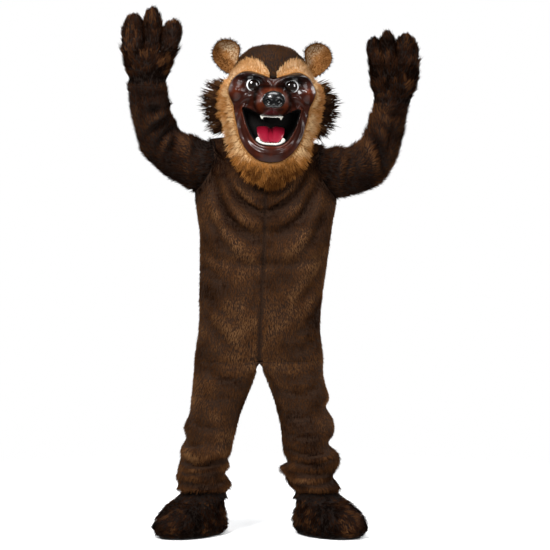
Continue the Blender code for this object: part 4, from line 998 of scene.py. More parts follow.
# %% Limb forms
def arm_section(section, columns, squareness=2.0):
    """A level ring across an arm: angle 0 is the outer line, a quarter turn on is the front."""
    angle = full_turn(columns)
    c, s = rounded(angle, squareness)
    outer = np.array([section.outer_x, 0.0, level(section.outer_height)])
    inner = np.array([section.inner_x, 0.0, level(section.inner_height)])
    ring = (outer + inner) / 2 + c[:, None] * (outer - inner) / 2
    ring[:, 1] = -section.forward - s * section.depth / 2
    return ring


def sleeve_rings(side):
    """The sleeve: the armhole's loop, then the arm's sections up to the cuff."""
    loop = armhole_loop(side, SLEEVE_TURN)
    first = arm_section(SLEEVES[side][0], SLEEVE_COLUMNS)
    way = first.mean(0) - loop.mean(0)
    loop += way / np.linalg.norm(way) * ARMHOLE_SEAM
    return np.stack([loop] + [arm_section(row, SLEEVE_COLUMNS) for row in SLEEVES[side]])


def leg_rings(side):
    """A trouser leg: a D at the hip seam, with its flat side at the crotch, then ovals, then the hem."""
    front = torso_panel(side, FRONT)[0]
    back = torso_panel(side, BACK)[0]
    outline = np.concatenate([front, back[-2::-1]])
    outline[len(front) - 1, 1] = 0.0
    steps = np.arange(1, CROTCH_COLUMNS + 1)[:, None] / (CROTCH_COLUMNS + 1)
    top = np.concatenate([outline, blend(back[0], front[0], steps)])
    top[:, 2] = level(HIP_HEIGHT) - SEAM
    arc = len(outline) - 1
    swing = 360.0 - 2 * CROTCH_ANGLE
    round_front = CROTCH_ANGLE + swing * np.arange(arc + 1) / arc
    past_crotch = 360.0 - CROTCH_ANGLE + 2 * CROTCH_ANGLE * steps[:, 0]
    turn = np.radians(np.concatenate([round_front, past_crotch]))
    rings = [top]
    for row in LEGS[side]:
        c, s = rounded(turn, LEG_SQUARENESS)
        middle = (row.outer + row.inner) / 2
        x = middle + (row.inner - row.outer) / 2 * c
        y = LEG_SET_BACK - row.depth / 2 * s
        rings.append(points_of(x, y, level(row.height) + row.tip * c * side))
    rings[1][:, :2] = blend(top[:, :2], rings[1][:, :2], 0.7)
    hem_x = ANKLES[side][0] - side * HEM_RADIUS * np.cos(turn)
    hem_y = ANKLES[side][1] - HEM_RADIUS * np.sin(turn)
    return np.stack(rings + [points_of(hem_x, hem_y, level(height)) for height in HEM_HEIGHTS])


# %% Folds of the sleeves and legs
LEFT_SLEEVE_FOLDS = (
    Fold(-0.425, 1.492, -0.386, 1.572, -0.341, 1.605, 0.024, 0.016),
    Fold(-0.363, 1.464, -0.352, 1.549, -0.341, 1.588, 0.020, 0.014),
    Fold(-0.273, 1.390, -0.273, 1.492, -0.261, 1.549, 0.022, 0.016),
    Fold(-0.239, 1.447, -0.227, 1.521, -0.216, 1.555, 0.017, 0.013),
    Fold(-0.462, 1.662, -0.430, 1.668, -0.400, 1.676, 0.015, 0.013),
    Fold(-0.408, 1.492, -0.380, 1.549, -0.352, 1.583, -0.015, 0.014),
    Fold(-0.307, 1.572, -0.278, 1.492, -0.284, 1.402, -0.015, 0.017),
    Fold(-0.460, 1.590, -0.403, 1.645, -0.352, 1.662, -0.017, 0.019),
    Fold(-0.493, 1.753, -0.482, 1.651, -0.457, 1.543, 0.010, 0.010),
    Fold(-0.480, 1.545, -0.430, 1.600, -0.375, 1.640, 0.015, 0.016),
    Fold(-0.525, 1.735, -0.455, 1.722, -0.385, 1.738, 0.010, 0.014),
)
RIGHT_SLEEVE_FOLDS = (
    Fold(0.258, 1.520, 0.250, 1.450, 0.250, 1.376, 0.020, 0.014),
    Fold(0.300, 1.518, 0.285, 1.440, 0.280, 1.365, 0.020, 0.014),
    Fold(0.340, 1.523, 0.318, 1.430, 0.305, 1.350, 0.020, 0.014),
    Fold(0.374, 1.529, 0.350, 1.440, 0.335, 1.356, 0.019, 0.014),
    Fold(0.408, 1.591, 0.454, 1.506, 0.470, 1.440, 0.022, 0.017),
    Fold(0.392, 1.545, 0.425, 1.480, 0.432, 1.400, -0.017, 0.016),
    Fold(0.322, 1.520, 0.300, 1.440, 0.292, 1.360, -0.012, 0.012),
    Fold(0.504, 1.665, 0.499, 1.574, 0.465, 1.461, 0.010, 0.010),
    Fold(0.430, 1.640, 0.480, 1.590, 0.530, 1.560, 0.012, 0.017),
    Fold(0.440, 1.665, 0.500, 1.650, 0.555, 1.652, 0.010, 0.014),
)
LEFT_LEG_FOLDS = (
    Fold(-0.316, 0.366, -0.285, 0.362, -0.235, 0.368, 0.012, 0.011),
    Fold(-0.335, 0.304, -0.240, 0.280, -0.135, 0.315, 0.019, 0.013),
    Fold(-0.340, 0.256, -0.247, 0.253, -0.140, 0.262, 0.015, 0.011),
    Fold(-0.350, 0.224, -0.225, 0.200, -0.130, 0.230, 0.024, 0.013),
    Fold(-0.340, 0.181, -0.240, 0.163, -0.130, 0.184, 0.018, 0.011),
    Fold(-0.335, 0.332, -0.240, 0.325, -0.140, 0.345, -0.012, 0.016),
    Fold(-0.345, 0.280, -0.240, 0.266, -0.140, 0.288, -0.009, 0.010),
    Fold(-0.300, 0.470, -0.210, 0.430, -0.120, 0.455, 0.011, 0.018),
    Fold(-0.285, 0.580, -0.190, 0.545, -0.080, 0.560, 0.009, 0.020),
    Fold(-0.270, 0.668, -0.150, 0.625, -0.050, 0.612, 0.012, 0.022),
)
RIGHT_LEG_FOLDS = (
    Fold(0.070, 0.366, 0.150, 0.322, 0.265, 0.340, 0.018, 0.013),
    Fold(0.095, 0.313, 0.190, 0.288, 0.290, 0.320, 0.022, 0.013),
    Fold(0.085, 0.280, 0.160, 0.247, 0.285, 0.255, 0.017, 0.012),
    Fold(0.095, 0.214, 0.189, 0.206, 0.285, 0.222, 0.022, 0.012),
    Fold(0.105, 0.181, 0.150, 0.176, 0.200, 0.172, 0.013, 0.010),
    Fold(0.080, 0.345, 0.170, 0.308, 0.275, 0.330, -0.011, 0.011),
    Fold(0.090, 0.235, 0.180, 0.228, 0.285, 0.238, -0.011, 0.010),
    Fold(0.065, 0.420, 0.150, 0.392, 0.255, 0.402, 0.012, 0.016),
    Fold(0.045, 0.500, 0.140, 0.470, 0.240, 0.500, 0.009, 0.018),
    Fold(0.030, 0.600, 0.130, 0.570, 0.230, 0.610, 0.011, 0.022),
    Fold(0.035, 0.655, 0.120, 0.628, 0.220, 0.668, 0.009, 0.018),
)


def behind(folds, drop, share):
    """The same kind of folds for the back: each a little lower, weaker and wider."""
    return tuple(
        fold._replace(
            h1=fold.h1 - drop, h2=fold.h2 - 0.6 * drop, h3=fold.h3 - 1.2 * drop,
            depth=share * fold.depth, width=1.15 * fold.width,
        )
        for fold in folds
    )


# %% Tubes, dressed
ALLOWANCE = 0.010
HEM_SMOOTHINGS = 8
HEM_ROLL_HEIGHT = 0.215
LEG_SHADE_HEIGHT = 0.40
LEG_LONGER_HEIGHT = 0.42
CROTCH_HALF_GAP = 0.012
CROTCH_DROP = 0.045
# A tube laid flat is longer than its area says, for the curve of its cutting line.
TUBE_SPARE = 1.12


def one_way(x, y, z):
    """A nap that lies the same way everywhere."""
    return lambda roots: np.tile([x, y, z], (len(roots), 1))


def worn(grid, folds, drop, share, size, depth, seed):
    """A tube's grid with its folds in front, similar ones behind, and small hollows all over."""
    grid = creased(grid, normals_of(grid, True), folds, FRONT)
    grid = creased(grid, normals_of(grid, True), behind(folds, drop, share), BACK)
    return rumpled(grid, normals_of(grid, True), size, depth, seed)


def dress_tube(
    name, sheets, kind, shade, fur, seed, around=True, tips=None, nap=None, lengths=None, keep=None
):
    """A tube or cap of cloth between two fine grids, and its pile. The nap follows the rows unless one is
    given. shade, nap, lengths and keep are functions of the roots."""
    outer, inner = sheets
    cloth = closed_wall(f"cloth_{name}", outer, inner, around, fur.backing, tips)
    row, column, roots, normals = rooted(outer, around, kind.spacing, seed)
    naps = nap(roots) if nap else on_grid(np.gradient(outer, axis=0), row, column, around)
    chosen = keep(roots) if keep else np.ones(len(roots), bool)
    roots, normals, naps = roots[chosen], normals[chosen], unit(naps[chosen])
    longer = lengths(roots) if lengths else None
    pile = grow_pile(f"pile_{name}", roots, normals, naps, kind, shade(roots), fur.pile, seed, longer)
    area = float(cell_areas(outer, around).sum())
    width = float(np.linalg.norm(np.diff(outer, axis=1), axis=2).sum(axis=1).max())
    declare(cloth, name, (width, area / width * TUBE_SPARE), area)


def sleeve_cloth(side, depth):
    """The sleeve's grid set back by depth, with its first ring moved toward the armhole's middle."""
    coarse = sleeve_rings(side)
    inner = set_in(coarse, depth, [-1])
    way = coarse[0].mean(axis=0) - coarse[0]
    inner[0] = coarse[0] + depth * way / np.linalg.norm(way, axis=1).mean()
    return inner


def dress_sleeve(name, side, folds, seed):
    """One sleeve with its folds at the front, similar ones behind, and pile that lies toward the wrist. Its
    first row is the seam allowance, turned under the body's panels."""
    sheets = []
    for depth in (SUIT_SET_BACK, SUIT_SET_BACK + CLOTH):
        grid = fine(sleeve_cloth(side, depth), FINE_ROWS, 4, True)
        grid = worn(grid, folds, 0.018, 0.8, 0.06, 0.0020, seed)
        from_seam = np.linalg.norm(grid - grid[:1], axis=2)
        grid -= normals_of(grid, True) * (SEAM_DIP * bell(from_seam - SEAM_REACH, SEAM_REACH))[..., None]
        inward = unit(grid[0].mean(axis=0) - grid[0])
        onward = unit(grid[FINE_ROWS] - grid[0])
        under = grid[0] + ALLOWANCE * inward - ALLOWANCE * onward
        sheets.append(np.concatenate([under[None], grid]))
    loop = sheets[0][1]

    def shade(points):
        # Painted shadow along the armhole seam.
        seam = 0.3 * bell(distance_to(points, loop[::4]), 0.010)
        # Painted fold shading: darker in the troughs, lighter on the ridges.
        return body_shade(points) - 0.13 - seam - 0.75 * painted_fold_shading(points, folds)

    dress_tube(f"sleeve_{name}", sheets, ARM_PILE, shade, LIMB_FUR, seed)


def leg_cloth(side, depth):
    """The leg's grid set back by depth. Its first ring is the body's own edge, so that the two meet."""
    coarse = leg_rings(side)
    inner = coarse - depth * normals_of(coarse, True)
    front = set_back(torso_panel(side, FRONT), depth, side)[0]
    back = set_back(torso_panel(side, BACK), depth, side)[0]
    steps = np.arange(1, CROTCH_COLUMNS + 1)[:, None] / (CROTCH_COLUMNS + 1)
    inner[0] = np.concatenate([front, back[-2::-1], blend(back[0], front[0], steps)])
    inner[0, :, 2] = coarse[0, :, 2]
    return inner


def dress_leg(name, side, folds, seed):
    """One trouser leg with the rolls above its hem, and pile that hangs down, longer toward the hem. It has
    no pile at the crotch, where the legs meet."""
    sheets = []
    for depth in (SUIT_SET_BACK, SUIT_SET_BACK + CLOTH):
        grid = fine(leg_cloth(side, depth), FINE_ROWS, 3, True)
        grid = worn(grid, folds, 0.012, 0.85, 0.09, 0.0022, SUIT_CLOTH)
        hem = ramp_up(level(HEM_ROLL_HEIGHT) - grid[1:-1, :, 2:], 0.02)
        for _ in range(HEM_SMOOTHINGS):
            grid[1:-1] = blend(grid[1:-1], (grid[:-2] + 2 * grid[1:-1] + grid[2:]) / 4, hem)
        sheets.append(grid)

    def shade(points):
        low = ramp_up(level(LEG_SHADE_HEIGHT) - points[:, 2], 0.20)
        # Painted fold shading: darker in the troughs, lighter on the ridges.
        return body_shade(points) - 0.08 * low - painted_fold_shading(points, folds)

    def lengths(points):
        return 1 + 0.4 * ramp_up(level(LEG_LONGER_HEIGHT) - points[:, 2], 0.15)

    def keep(points):
        near_crotch = points[:, 2] > level(HIP_HEIGHT) - CROTCH_DROP
        return ~((np.abs(points[:, 0] - GIRTHS[0].middle) < CROTCH_HALF_GAP) & near_crotch)

    dress_tube(
        f"leg_{name}", sheets, SUIT_PILE, shade, BODY_FUR, seed, nap=one_way(0.0, 0.0, -1.0), lengths=lengths,
        keep=keep,
    )


dress_sleeve("left", LEFT, LEFT_SLEEVE_FOLDS, 31)
dress_sleeve("right", RIGHT, RIGHT_SLEEVE_FOLDS, 32)
dress_leg("left", LEFT, LEFT_LEG_FOLDS, 41)
dress_leg("right", RIGHT, RIGHT_LEG_FOLDS, 42)

# %% [markdown]
# ## Mitts and foot covers
#
# Both are made of a longer, curlier pile than the suit. A mitt is a palm with a cuff and three hollow digits,
# the inner one for the thumb. A foot cover is a wide hood over the shoe, with soft toes. Their pile stands
# out past the outline in tufts, which grow toward the tips.

# %% Mitt and foot sizes
DIGIT_COLUMNS = 10
FOOT_COLUMNS = 16
# The mitts' palms, from the cuff to the knuckles. A squareness of 2 is an ellipse.
Palm = namedtuple("Palm", "outer_x outer_height inner_x inner_height depth forward squareness")
PALMS = {
    LEFT: (
        Palm(-0.535, 1.798, -0.380, 1.795, 0.126, 0.062, 2.2),
        Palm(-0.548, 1.853, -0.361, 1.848, 0.138, 0.066, 2.6),
        Palm(-0.552, 1.906, -0.346, 1.906, 0.126, 0.072, 4.0),
    ),
    RIGHT: (
        Palm(0.582, 1.718, 0.427, 1.723, 0.126, 0.060, 2.2),
        Palm(0.600, 1.767, 0.418, 1.773, 0.142, 0.064, 2.6),
        Palm(0.605, 1.853, 0.418, 1.853, 0.128, 0.076, 4.0),
    ),
}

# The mitts' digits: the knuckle slice each stands on, then its tip, girth and how far the tip curls forward.
Digit = namedtuple("Digit", "name outer_x inner_x tip_x tip_height width curl")
DIGITS = {
    LEFT: (
        Digit("outer", -0.552, -0.467, -0.508, 2.052, 0.090, 0.020),
        Digit("middle", -0.467, -0.407, -0.434, 2.078, 0.076, 0.030),
        Digit("inner", -0.407, -0.346, -0.352, 2.030, 0.082, 0.010),
    ),
    RIGHT: (
        Digit("outer", 0.605, 0.517, 0.552, 1.972, 0.092, 0.050),
        Digit("middle", 0.517, 0.463, 0.480, 1.980, 0.066, 0.060),
        Digit("inner", 0.463, 0.418, 0.428, 1.958, 0.062, 0.040),
    ),
}
DIGIT_DEPTH = 0.082
DIGIT_STEPS = (0.0, 0.25, 0.50, 0.74, 0.92)
DIGIT_ROUND_FROM = 0.45

TOE_OUT = 35.0
Foot = namedtuple("Foot", "height shift half_length half_width lobes squareness")
FOOT = (
    Foot(0.0040, 0.088, 0.168, 0.104, 0.000, 2.2),
    Foot(0.0300, 0.092, 0.184, 0.118, 0.030, 2.2),
    Foot(0.0620, 0.088, 0.181, 0.117, 0.035, 2.2),
    Foot(0.0920, 0.074, 0.161, 0.107, 0.025, 2.2),
    Foot(0.1160, 0.050, 0.131, 0.095, 0.010, 2.2),
    Foot(0.1340, 0.022, 0.103, 0.085, 0.000, 2.0),
    Foot(0.1460, 0.000, 0.0800, 0.0800, 0.000, 2.0),
    Foot(0.1850, 0.000, 0.0800, 0.0800, 0.000, 2.0),
)
TOE_LOBES = 8

# %% Mitt and foot forms
def foot_section(side, row, inset=0.0):
    """A level ring of the foot, long along the foot's own direction, with soft lobes at the toes."""
    angle = full_turn(FOOT_COLUMNS)
    c, s = rounded(angle, row.squareness)
    toes = np.clip(np.cos(angle), 0, 1) ** 2
    swell = 1 + row.lobes * toes * np.cos(TOE_LOBES * angle)
    ahead = row.shift + (row.half_length - inset) * c * swell
    aside = (row.half_width - inset) * s * swell
    x, y = ANKLES[side]
    out = math.radians(TOE_OUT)
    forward = np.array([side * math.sin(out), -math.cos(out)])
    sideways = np.array([-forward[1], forward[0]])
    plan = np.array([x, y]) + ahead[:, None] * forward + aside[:, None] * sideways
    return np.column_stack([plan, np.full(FOOT_COLUMNS, level(row.height))])


def palm_rings(side):
    cuff = arm_section(SLEEVES[side][-1], SLEEVE_COLUMNS)
    cuff[:, 2] += SEAM
    rows = [arm_section(row, SLEEVE_COLUMNS, row.squareness) for row in PALMS[side]]
    return np.stack([cuff] + rows)


def digit_rings(side, number):
    """A digit: a squarish ring on the knuckles that rounds off, swells and closes at the tip."""
    knuckle = PALMS[side][-1]
    digits = DIGITS[side]
    digit = digits[number]
    base_z = level(knuckle.outer_height) + SEAM
    tip_z = level(digit.tip_height)
    base_x = (digit.outer_x + digit.inner_x) / 2
    base_half = abs(digit.outer_x - digit.inner_x) / 2 - SEAM
    angle = full_turn(DIGIT_COLUMNS)
    rings = []
    for t in DIGIT_STEPS:
        c, s = rounded(angle, blend(4.0, 2.0, min(1.0, 2.5 * t)))
        close = math.sqrt(1 - max(0.0, (t - DIGIT_ROUND_FROM) / (1 - DIGIT_ROUND_FROM)) ** 2)
        half = blend(base_half, digit.width / 2, min(1.0, 2 * t)) * close
        depth = blend(knuckle.depth / 2 - 0.001, DIGIT_DEPTH / 2, min(1.0, 2 * t)) * close
        z = blend(base_z, tip_z, t)
        x = blend(base_x, digit.tip_x, t) + half * c
        for near in (number - 1, number + 1):
            if 0 <= near < len(digits):
                x = kept_clear(x, z, base_z, digit, digits[near], side)
        rings.append(points_of(x, -knuckle.forward - digit.curl * t * t - depth * s, z))
    tip = np.array([digit.tip_x, -knuckle.forward - digit.curl, tip_z])
    return np.stack(rings), tip


def kept_clear(x, z, base_z, digit, other, side):
    """Holds a digit's points on its own side of the plane that parts it from its neighbour."""
    outward = (digit.outer_x - other.outer_x) * side > 0
    base_x = digit.inner_x if outward else digit.outer_x
    lean = (z - base_z) / (level((digit.tip_height + other.tip_height) / 2) - base_z)
    plane = blend(base_x, (digit.tip_x + other.tip_x) / 2, lean)
    if outward == (side > 0):
        return np.maximum(x, plane + SEAM / 2)
    return np.minimum(x, plane - SEAM / 2)


# %% Mitts, dressed
MITT_SET_BACK = 0.008
DIGIT_SET_BACK = 0.002
DIGIT_SIDE_SET_BACK = 0.0005
DIGIT_PILE = SHAGGY_PILE._replace(length=0.024, lift=36.0)


def pointed(rings, tip):
    """Rings and a tip as one grid whose last row is the tip again and again."""
    return np.concatenate([rings, np.broadcast_to(tip, (1,) + rings.shape[1:])])


def shaggy_shade(points, seed):
    """Longer pile shows more light and dark: strong tufts, and soft patches under them."""
    own = tuft_number(points, SHAGGY_PILE.tuft, seed)
    return 0.05 + 0.34 * own + 0.14 * soft_noise(points, 0.05, seed + 3)


def dress_mitts(name, side, seed):
    """The palm and its digits: pile toward the finger tips, longer there, and a painted shadow at the
    cuff's seam.
    """
    coarse = palm_rings(side)
    cuff_height = level(SLEEVES[side][-1].inner_height)
    sheets = []
    for depth in (MITT_SET_BACK, MITT_SET_BACK + CLOTH):
        inner = set_in(coarse, depth, [0, -1])
        inner[0] = sleeve_cloth(side, depth)[-1]
        grid = fine(inner, 6, 4, True)
        sheets.append(rumpled(grid, normals_of(grid, True), 0.05, 0.003, seed))

    def shade(points):
        # Painted shadow along the seam where the sleeve's cuff meets the palm.
        return shaggy_shade(points, seed) - 0.3 * bell(points[:, 2] - (cuff_height + 0.012), 0.014)

    def lengths(points):
        top = np.clip(1 - (coarse[-1, :, 2].mean() - points[:, 2]) / 0.03, 0, 1)
        return np.clip(0.62 + (points[:, 2] - cuff_height) / 0.20, 0.6, 1.15) + 0.5 * top

    dress_tube(f"mitt_palm_{name}", sheets, SHAGGY_PILE, shade, LIMB_FUR, seed, lengths=lengths)
    for number, digit in enumerate(DIGITS[side]):
        rings, tip = digit_rings(side, number)
        normals = normals_of(rings, True)
        # The cloth is set back where a digit is free: in front, behind, and on the mitt's own two sides.
        side_of_mitt = np.sign(rings[..., 0].mean() - coarse[..., 0].mean()) if number != 1 else 0.0
        free = np.clip(np.maximum(np.abs(normals[..., 1]), side_of_mitt * normals[..., 0]), 0, 1)[..., None]
        sheets, tips = [], []
        for cloth in (0.0, CLOTH):
            inner = rings - (cloth + blend(DIGIT_SIDE_SET_BACK, DIGIT_SET_BACK, free)) * normals
            inner[0, :, 2] = rings[0, :, 2]
            grid = fine(pointed(inner, tip - np.array([0.0, 0.0, DIGIT_SET_BACK + cloth])), 5, 3, True)
            tips.append(grid[-1, 0])
            sheets.append(grid[:-1])
        dress_tube(
            f"mitt_{digit.name}_{name}", sheets, DIGIT_PILE, lambda points: shaggy_shade(points, seed + 1),
            LIMB_FUR, seed + 2 + number, tips=tips,
        )


for side_name, side in SIDES.items():
    dress_mitts(side_name, side, 51 + 5 * side)


# %% Foot covers, dressed
FOOT_SET_BACK = 0.011
FOOT_PILE_TOP = 0.168
FOOT_PILE = SHAGGY_PILE._replace(spacing=0.0061)
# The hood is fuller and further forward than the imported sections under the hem, by their heights.
FULLER = {0.0920: 0.004, 0.1160: 0.010, 0.1340: 0.022, 0.1460: 0.028}
FORWARD = {0.0920: 0.004, 0.1160: 0.012, 0.1340: 0.016, 0.1460: 0.014}
FULL_FOOT = tuple(
    row._replace(
        shift=row.shift + FORWARD.get(row.height, 0.0),
        half_length=row.half_length + FULLER.get(row.height, 0.0),
        half_width=row.half_width + FULLER.get(row.height, 0.0),
    )
    for row in FOOT
)


def dress_foot(name, side, seed):
    """The foot cover: pile that runs down from the ankle and out over the toes, short of the floor. The toes
    show as lobes with a painted highlight on each and painted shade between them."""
    coarse = np.stack([foot_section(side, row) for row in FULL_FOOT])
    ankle = np.array([*ANKLES[side], level(0.0)])
    sheets = []
    for depth in (FOOT_SET_BACK, FOOT_SET_BACK + CLOTH):
        grid = fine(set_in(coarse, depth, [0]), 4, 4, True)
        sheets.append(rumpled(grid, normals_of(grid, True), 0.06, 0.003, seed))
    out = math.radians(TOE_OUT)
    forward = np.array([side * math.sin(out), -math.cos(out), 0.0])
    sideways = np.array([-forward[1], forward[0], 0.0])

    def nap(roots):
        away = (roots - ankle) * [1.0, 1.0, 0.0]
        low = ramp_up(roots[:, 2:] - level(0.02), 0.06)
        return unit(away) * (1.2 - 1.1 * low) + np.array([0.0, 0.0, -1.0]) * low + 0.4 * forward

    def shade(points):
        ahead, aside = (points - ankle) @ forward, (points - ankle) @ sideways
        # Painted highlight on each toe's lobe and painted shade in the valleys between them.
        toes = ramp_up(ahead, 0.16) ** 2 * np.cos(TOE_LOBES * np.arctan2(aside, ahead))
        return shaggy_shade(points, seed) + 0.20 * np.clip(toes, -1, 0.4)

    dress_tube(
        f"foot_cover_{name}", sheets, FOOT_PILE, shade, LIMB_FUR, seed, nap=nap,
        lengths=lambda points: np.clip((level(0.175) - points[:, 2]) / 0.05, 0.45, 1),
        keep=lambda points: points[:, 2] < level(FOOT_PILE_TOP),
    )


for side_name, side in SIDES.items():
    dress_foot(side_name, side, 61 + side)

# %% [markdown]
# ## The head
#
# The head is a hard shell under short dark plush, with a moulded face let into its front. It is worn over
# the wearer's own head, tilted and turned a little. Its pieces are laid out in a frame of their own, square
# to the face, and one function turns them into place.

# %% Head sizes
# The head: its frame stands on the face's centre, tilted and turned a little on the neck.
HEAD_X = 0.022
HEAD_TILT = 2.4
HEAD_TURN = 2.5
Skull = namedtuple("Skull", "height half_width front back")
SKULL = (
    Skull(1.470, 0.150, 0.160, 0.1314),
    Skull(1.530, 0.152, 0.160, 0.1534),
    Skull(1.600, 0.162, 0.160, 0.184),
    Skull(1.650, 0.174, 0.160, 0.198),
    Skull(1.710, 0.179, 0.165, 0.206),
    Skull(1.760, 0.174, 0.180, 0.206),
    Skull(1.800, 0.166, 0.194, 0.200),
    Skull(1.840, 0.156, 0.182, 0.186),
    Skull(1.877, 0.138, 0.158, 0.164),
    Skull(1.905, 0.112, 0.128, 0.134),
    Skull(1.930, 0.076, 0.086, 0.092),
    Skull(1.946, 0.002, 0.002, 0.002),
)
CROWN_HEIGHTS = (1.800, 1.840, 1.877, 1.905, 1.930)
CROWN_TOP = 1.946
BACK_EDGE_ANGLE = 80.0
BACK_SIDE_HEIGHTS = (1.800, 1.600)
CAPE_HEIGHT = 1.480
CAPE_CURVE = 1.3
HEAD_COLUMNS = 20
BACK_ROWS = 7

# Spokes across the face's edge, from the chin up to the brow's middle: the mouth, the moulded face's rim, and
# the outer edge of the tan fur, with how far that edge stands in front of the head's middle plane.
Spoke = namedtuple("Spoke", "mouth_x mouth_height rim_x rim_height edge_x edge_height edge_depth")
SPOKES = (
    Spoke(0.000, 1.536, 0.000, 1.474, 0.000, 1.362, 0.206),
    Spoke(0.022, 1.537, 0.040, 1.480, 0.045, 1.378, 0.204),
    Spoke(0.042, 1.542, 0.072, 1.499, 0.088, 1.405, 0.198),
    Spoke(0.058, 1.552, 0.098, 1.527, 0.134, 1.446, 0.182),
    Spoke(0.072, 1.567, 0.118, 1.564, 0.160, 1.500, 0.152),
    Spoke(0.086, 1.590, 0.131, 1.606, 0.174, 1.562, 0.112),
    Spoke(0.098, 1.617, 0.140, 1.650, 0.194, 1.630, 0.074),
    Spoke(0.107, 1.645, 0.148, 1.690, 0.210, 1.690, 0.054),
    Spoke(0.113, 1.666, 0.165, 1.726, 0.207, 1.735, 0.050),
    Spoke(0.115, 1.680, 0.169, 1.754, 0.192, 1.768, 0.054),
    Spoke(0.104, 1.684, 0.158, 1.784, 0.172, 1.796, 0.056),
    Spoke(0.090, 1.680, 0.140, 1.806, 0.150, 1.834, 0.060),
    Spoke(0.076, 1.674, 0.114, 1.821, 0.126, 1.864, 0.080),
    Spoke(0.060, 1.664, 0.084, 1.823, 0.088, 1.880, 0.100),
    Spoke(0.044, 1.657, 0.046, 1.812, 0.046, 1.862, 0.120),
    Spoke(0.022, 1.655, 0.014, 1.800, 0.014, 1.826, 0.150),
    Spoke(0.000, 1.654, 0.000, 1.797, 0.000, 1.820, 0.150),
)
BEARD_END = 4
RUFF_END = 10
BROW_END = 15
RUFF_ROWS = 4
RUFF_GAP = 0.0011
SPOKE_SEAM = 0.006
FUR_PROUD = 0.004
CROWN_CLEAR = 0.0093

# The moulded face: a round front that leans back at the forehead and fills out at the jaw, with swellings.
FACE_BACK = 0.092
FACE_ROUND = 0.108
FACE_HALF_WIDTH = 0.190
FOREHEAD_HEIGHT = 1.760
FOREHEAD_SLOPE = 0.35
JAW_HEIGHT = 1.660
JAW_FADE = 0.060
JAW_RISE = 0.012
Swelling = namedtuple("Swelling", "name across height rise wide tall flatness")
SWELLINGS = (
    Swelling("muzzle", 0.000, 1.708, 0.118, 0.064, 0.050, 1.8),
    Swelling("bridge", 0.000, 1.775, 0.020, 0.034, 0.040, 1.0),
    Swelling("brow", 0.078, 1.808, 0.026, 0.050, 0.015, 1.0),
    Swelling("cheek", 0.146, 1.748, 0.028, 0.026, 0.028, 1.0),
    Swelling("socket", 0.074, 1.770, -0.012, 0.030, 0.022, 1.0),
    Swelling("chin", 0.000, 1.508, 0.024, 0.080, 0.036, 1.0),
)

# The dark manes behind the ruff: how far their locks reach out at each height.
Rim = namedtuple("Rim", "height half_width")
MANE_EDGE = (
    Rim(1.594, 0.214),
    Rim(1.630, 0.240),
    Rim(1.670, 0.252),
    Rim(1.710, 0.262),
    Rim(1.750, 0.248),
    Rim(1.786, 0.222),
)
MANE_CLOTH = 0.008
MANE_BACK = 0.020
MANE_SWEEP = 0.016
MANE_DROOP = 0.006
MANE_GAP = 0.0004

EAR_X = 0.179
EAR_HEIGHT = 1.892
EAR_RADIUS = 0.066
EAR_CUP = 0.034
EAR_CLOTH = 0.006
EAR_LINING = 0.004
EAR_GAP = -0.0008
EAR_LIP = 0.012
EAR_COLUMNS = 14
EAR_STEPS = (1.0, 0.88, 0.75, 0.58, 0.4, 0.2)

# %% Head forms
HEAD_MIDDLE = np.zeros(3)


def head_ring(height, angle):
    """Points of the skull's level ring, in the head's frame: angle 0 is the front, 180 degrees the back."""
    half = curve_through(SKULL, height, "half_width")
    front = curve_through(SKULL, height, "front")
    back = curve_through(SKULL, height, "back")
    y = -np.where(np.cos(angle) > 0, front, back) * np.cos(angle)
    return points_of(half * np.sin(angle), y, height - FACE_HEIGHT)


def face_depth(x, height):
    """How far the moulded face stands in front of the head's middle plane."""
    depth = FACE_BACK + FACE_ROUND * np.sqrt(np.clip(1 - (x / FACE_HALF_WIDTH) ** 2, 0, 1))
    depth = depth - FOREHEAD_SLOPE * np.clip(height - FOREHEAD_HEIGHT, 0, 1)
    depth = depth + JAW_RISE * np.clip((JAW_HEIGHT - height) / JAW_FADE, 0, 1)
    for lump in SWELLINGS:
        across = (np.abs(x) - lump.across) / lump.wide
        up = (height - lump.height) / lump.tall
        depth = depth + lump.rise * np.exp(-((across**2 + up**2) ** lump.flatness))
    return depth


def crown_depth(x, height):
    """How far the crown stands in front of the head's middle plane; zero outside its outline."""
    half = curve_through(SKULL, height, "half_width")
    return curve_through(SKULL, height, "front") * np.sqrt(np.clip(1 - (x / half) ** 2, 0, 1))


def spoke_points(share, first, second, at):
    """Points part of the way along the spokes, as x and height. share counts spokes, and is negative on the
    left."""
    near_x, near_height, far_x, far_height = (
        curve_through(SPOKES, np.abs(share), column, None)
        for column in (f"{first}_x", f"{first}_height", f"{second}_x", f"{second}_height")
    )
    return np.sign(share) * blend(near_x, far_x, at), blend(near_height, far_height, at)


def fur_edge_grid(spokes):
    """Tan fur from the moulded face's rim out to its own edge, in front of the crown where it crosses it."""
    rim_x, rim_h = spoke_points(spokes, "rim", "rim", 0.0)
    edge_x, edge_h = spoke_points(spokes, "edge", "edge", 0.0)
    edge_depth = curve_through(SPOKES, np.abs(spokes), "edge_depth", None)
    away = np.hypot(edge_x - rim_x, edge_h - rim_h)
    t = np.linspace(0, 1, RUFF_ROWS)[:, None]
    t = t + (1 - t) * (RUFF_GAP / away)[None]
    x = blend(rim_x[None], edge_x[None], t)
    height = blend(rim_h[None], edge_h[None], t)
    depth = blend((face_depth(rim_x, rim_h) + FUR_PROUD)[None], edge_depth[None], t**1.4)
    over_crown = np.where(height > CROWN_HEIGHTS[0] - 0.012, crown_depth(x, height) + CROWN_CLEAR, 0.0)
    return points_of(x, -np.maximum(depth, over_crown), height - FACE_HEIGHT)


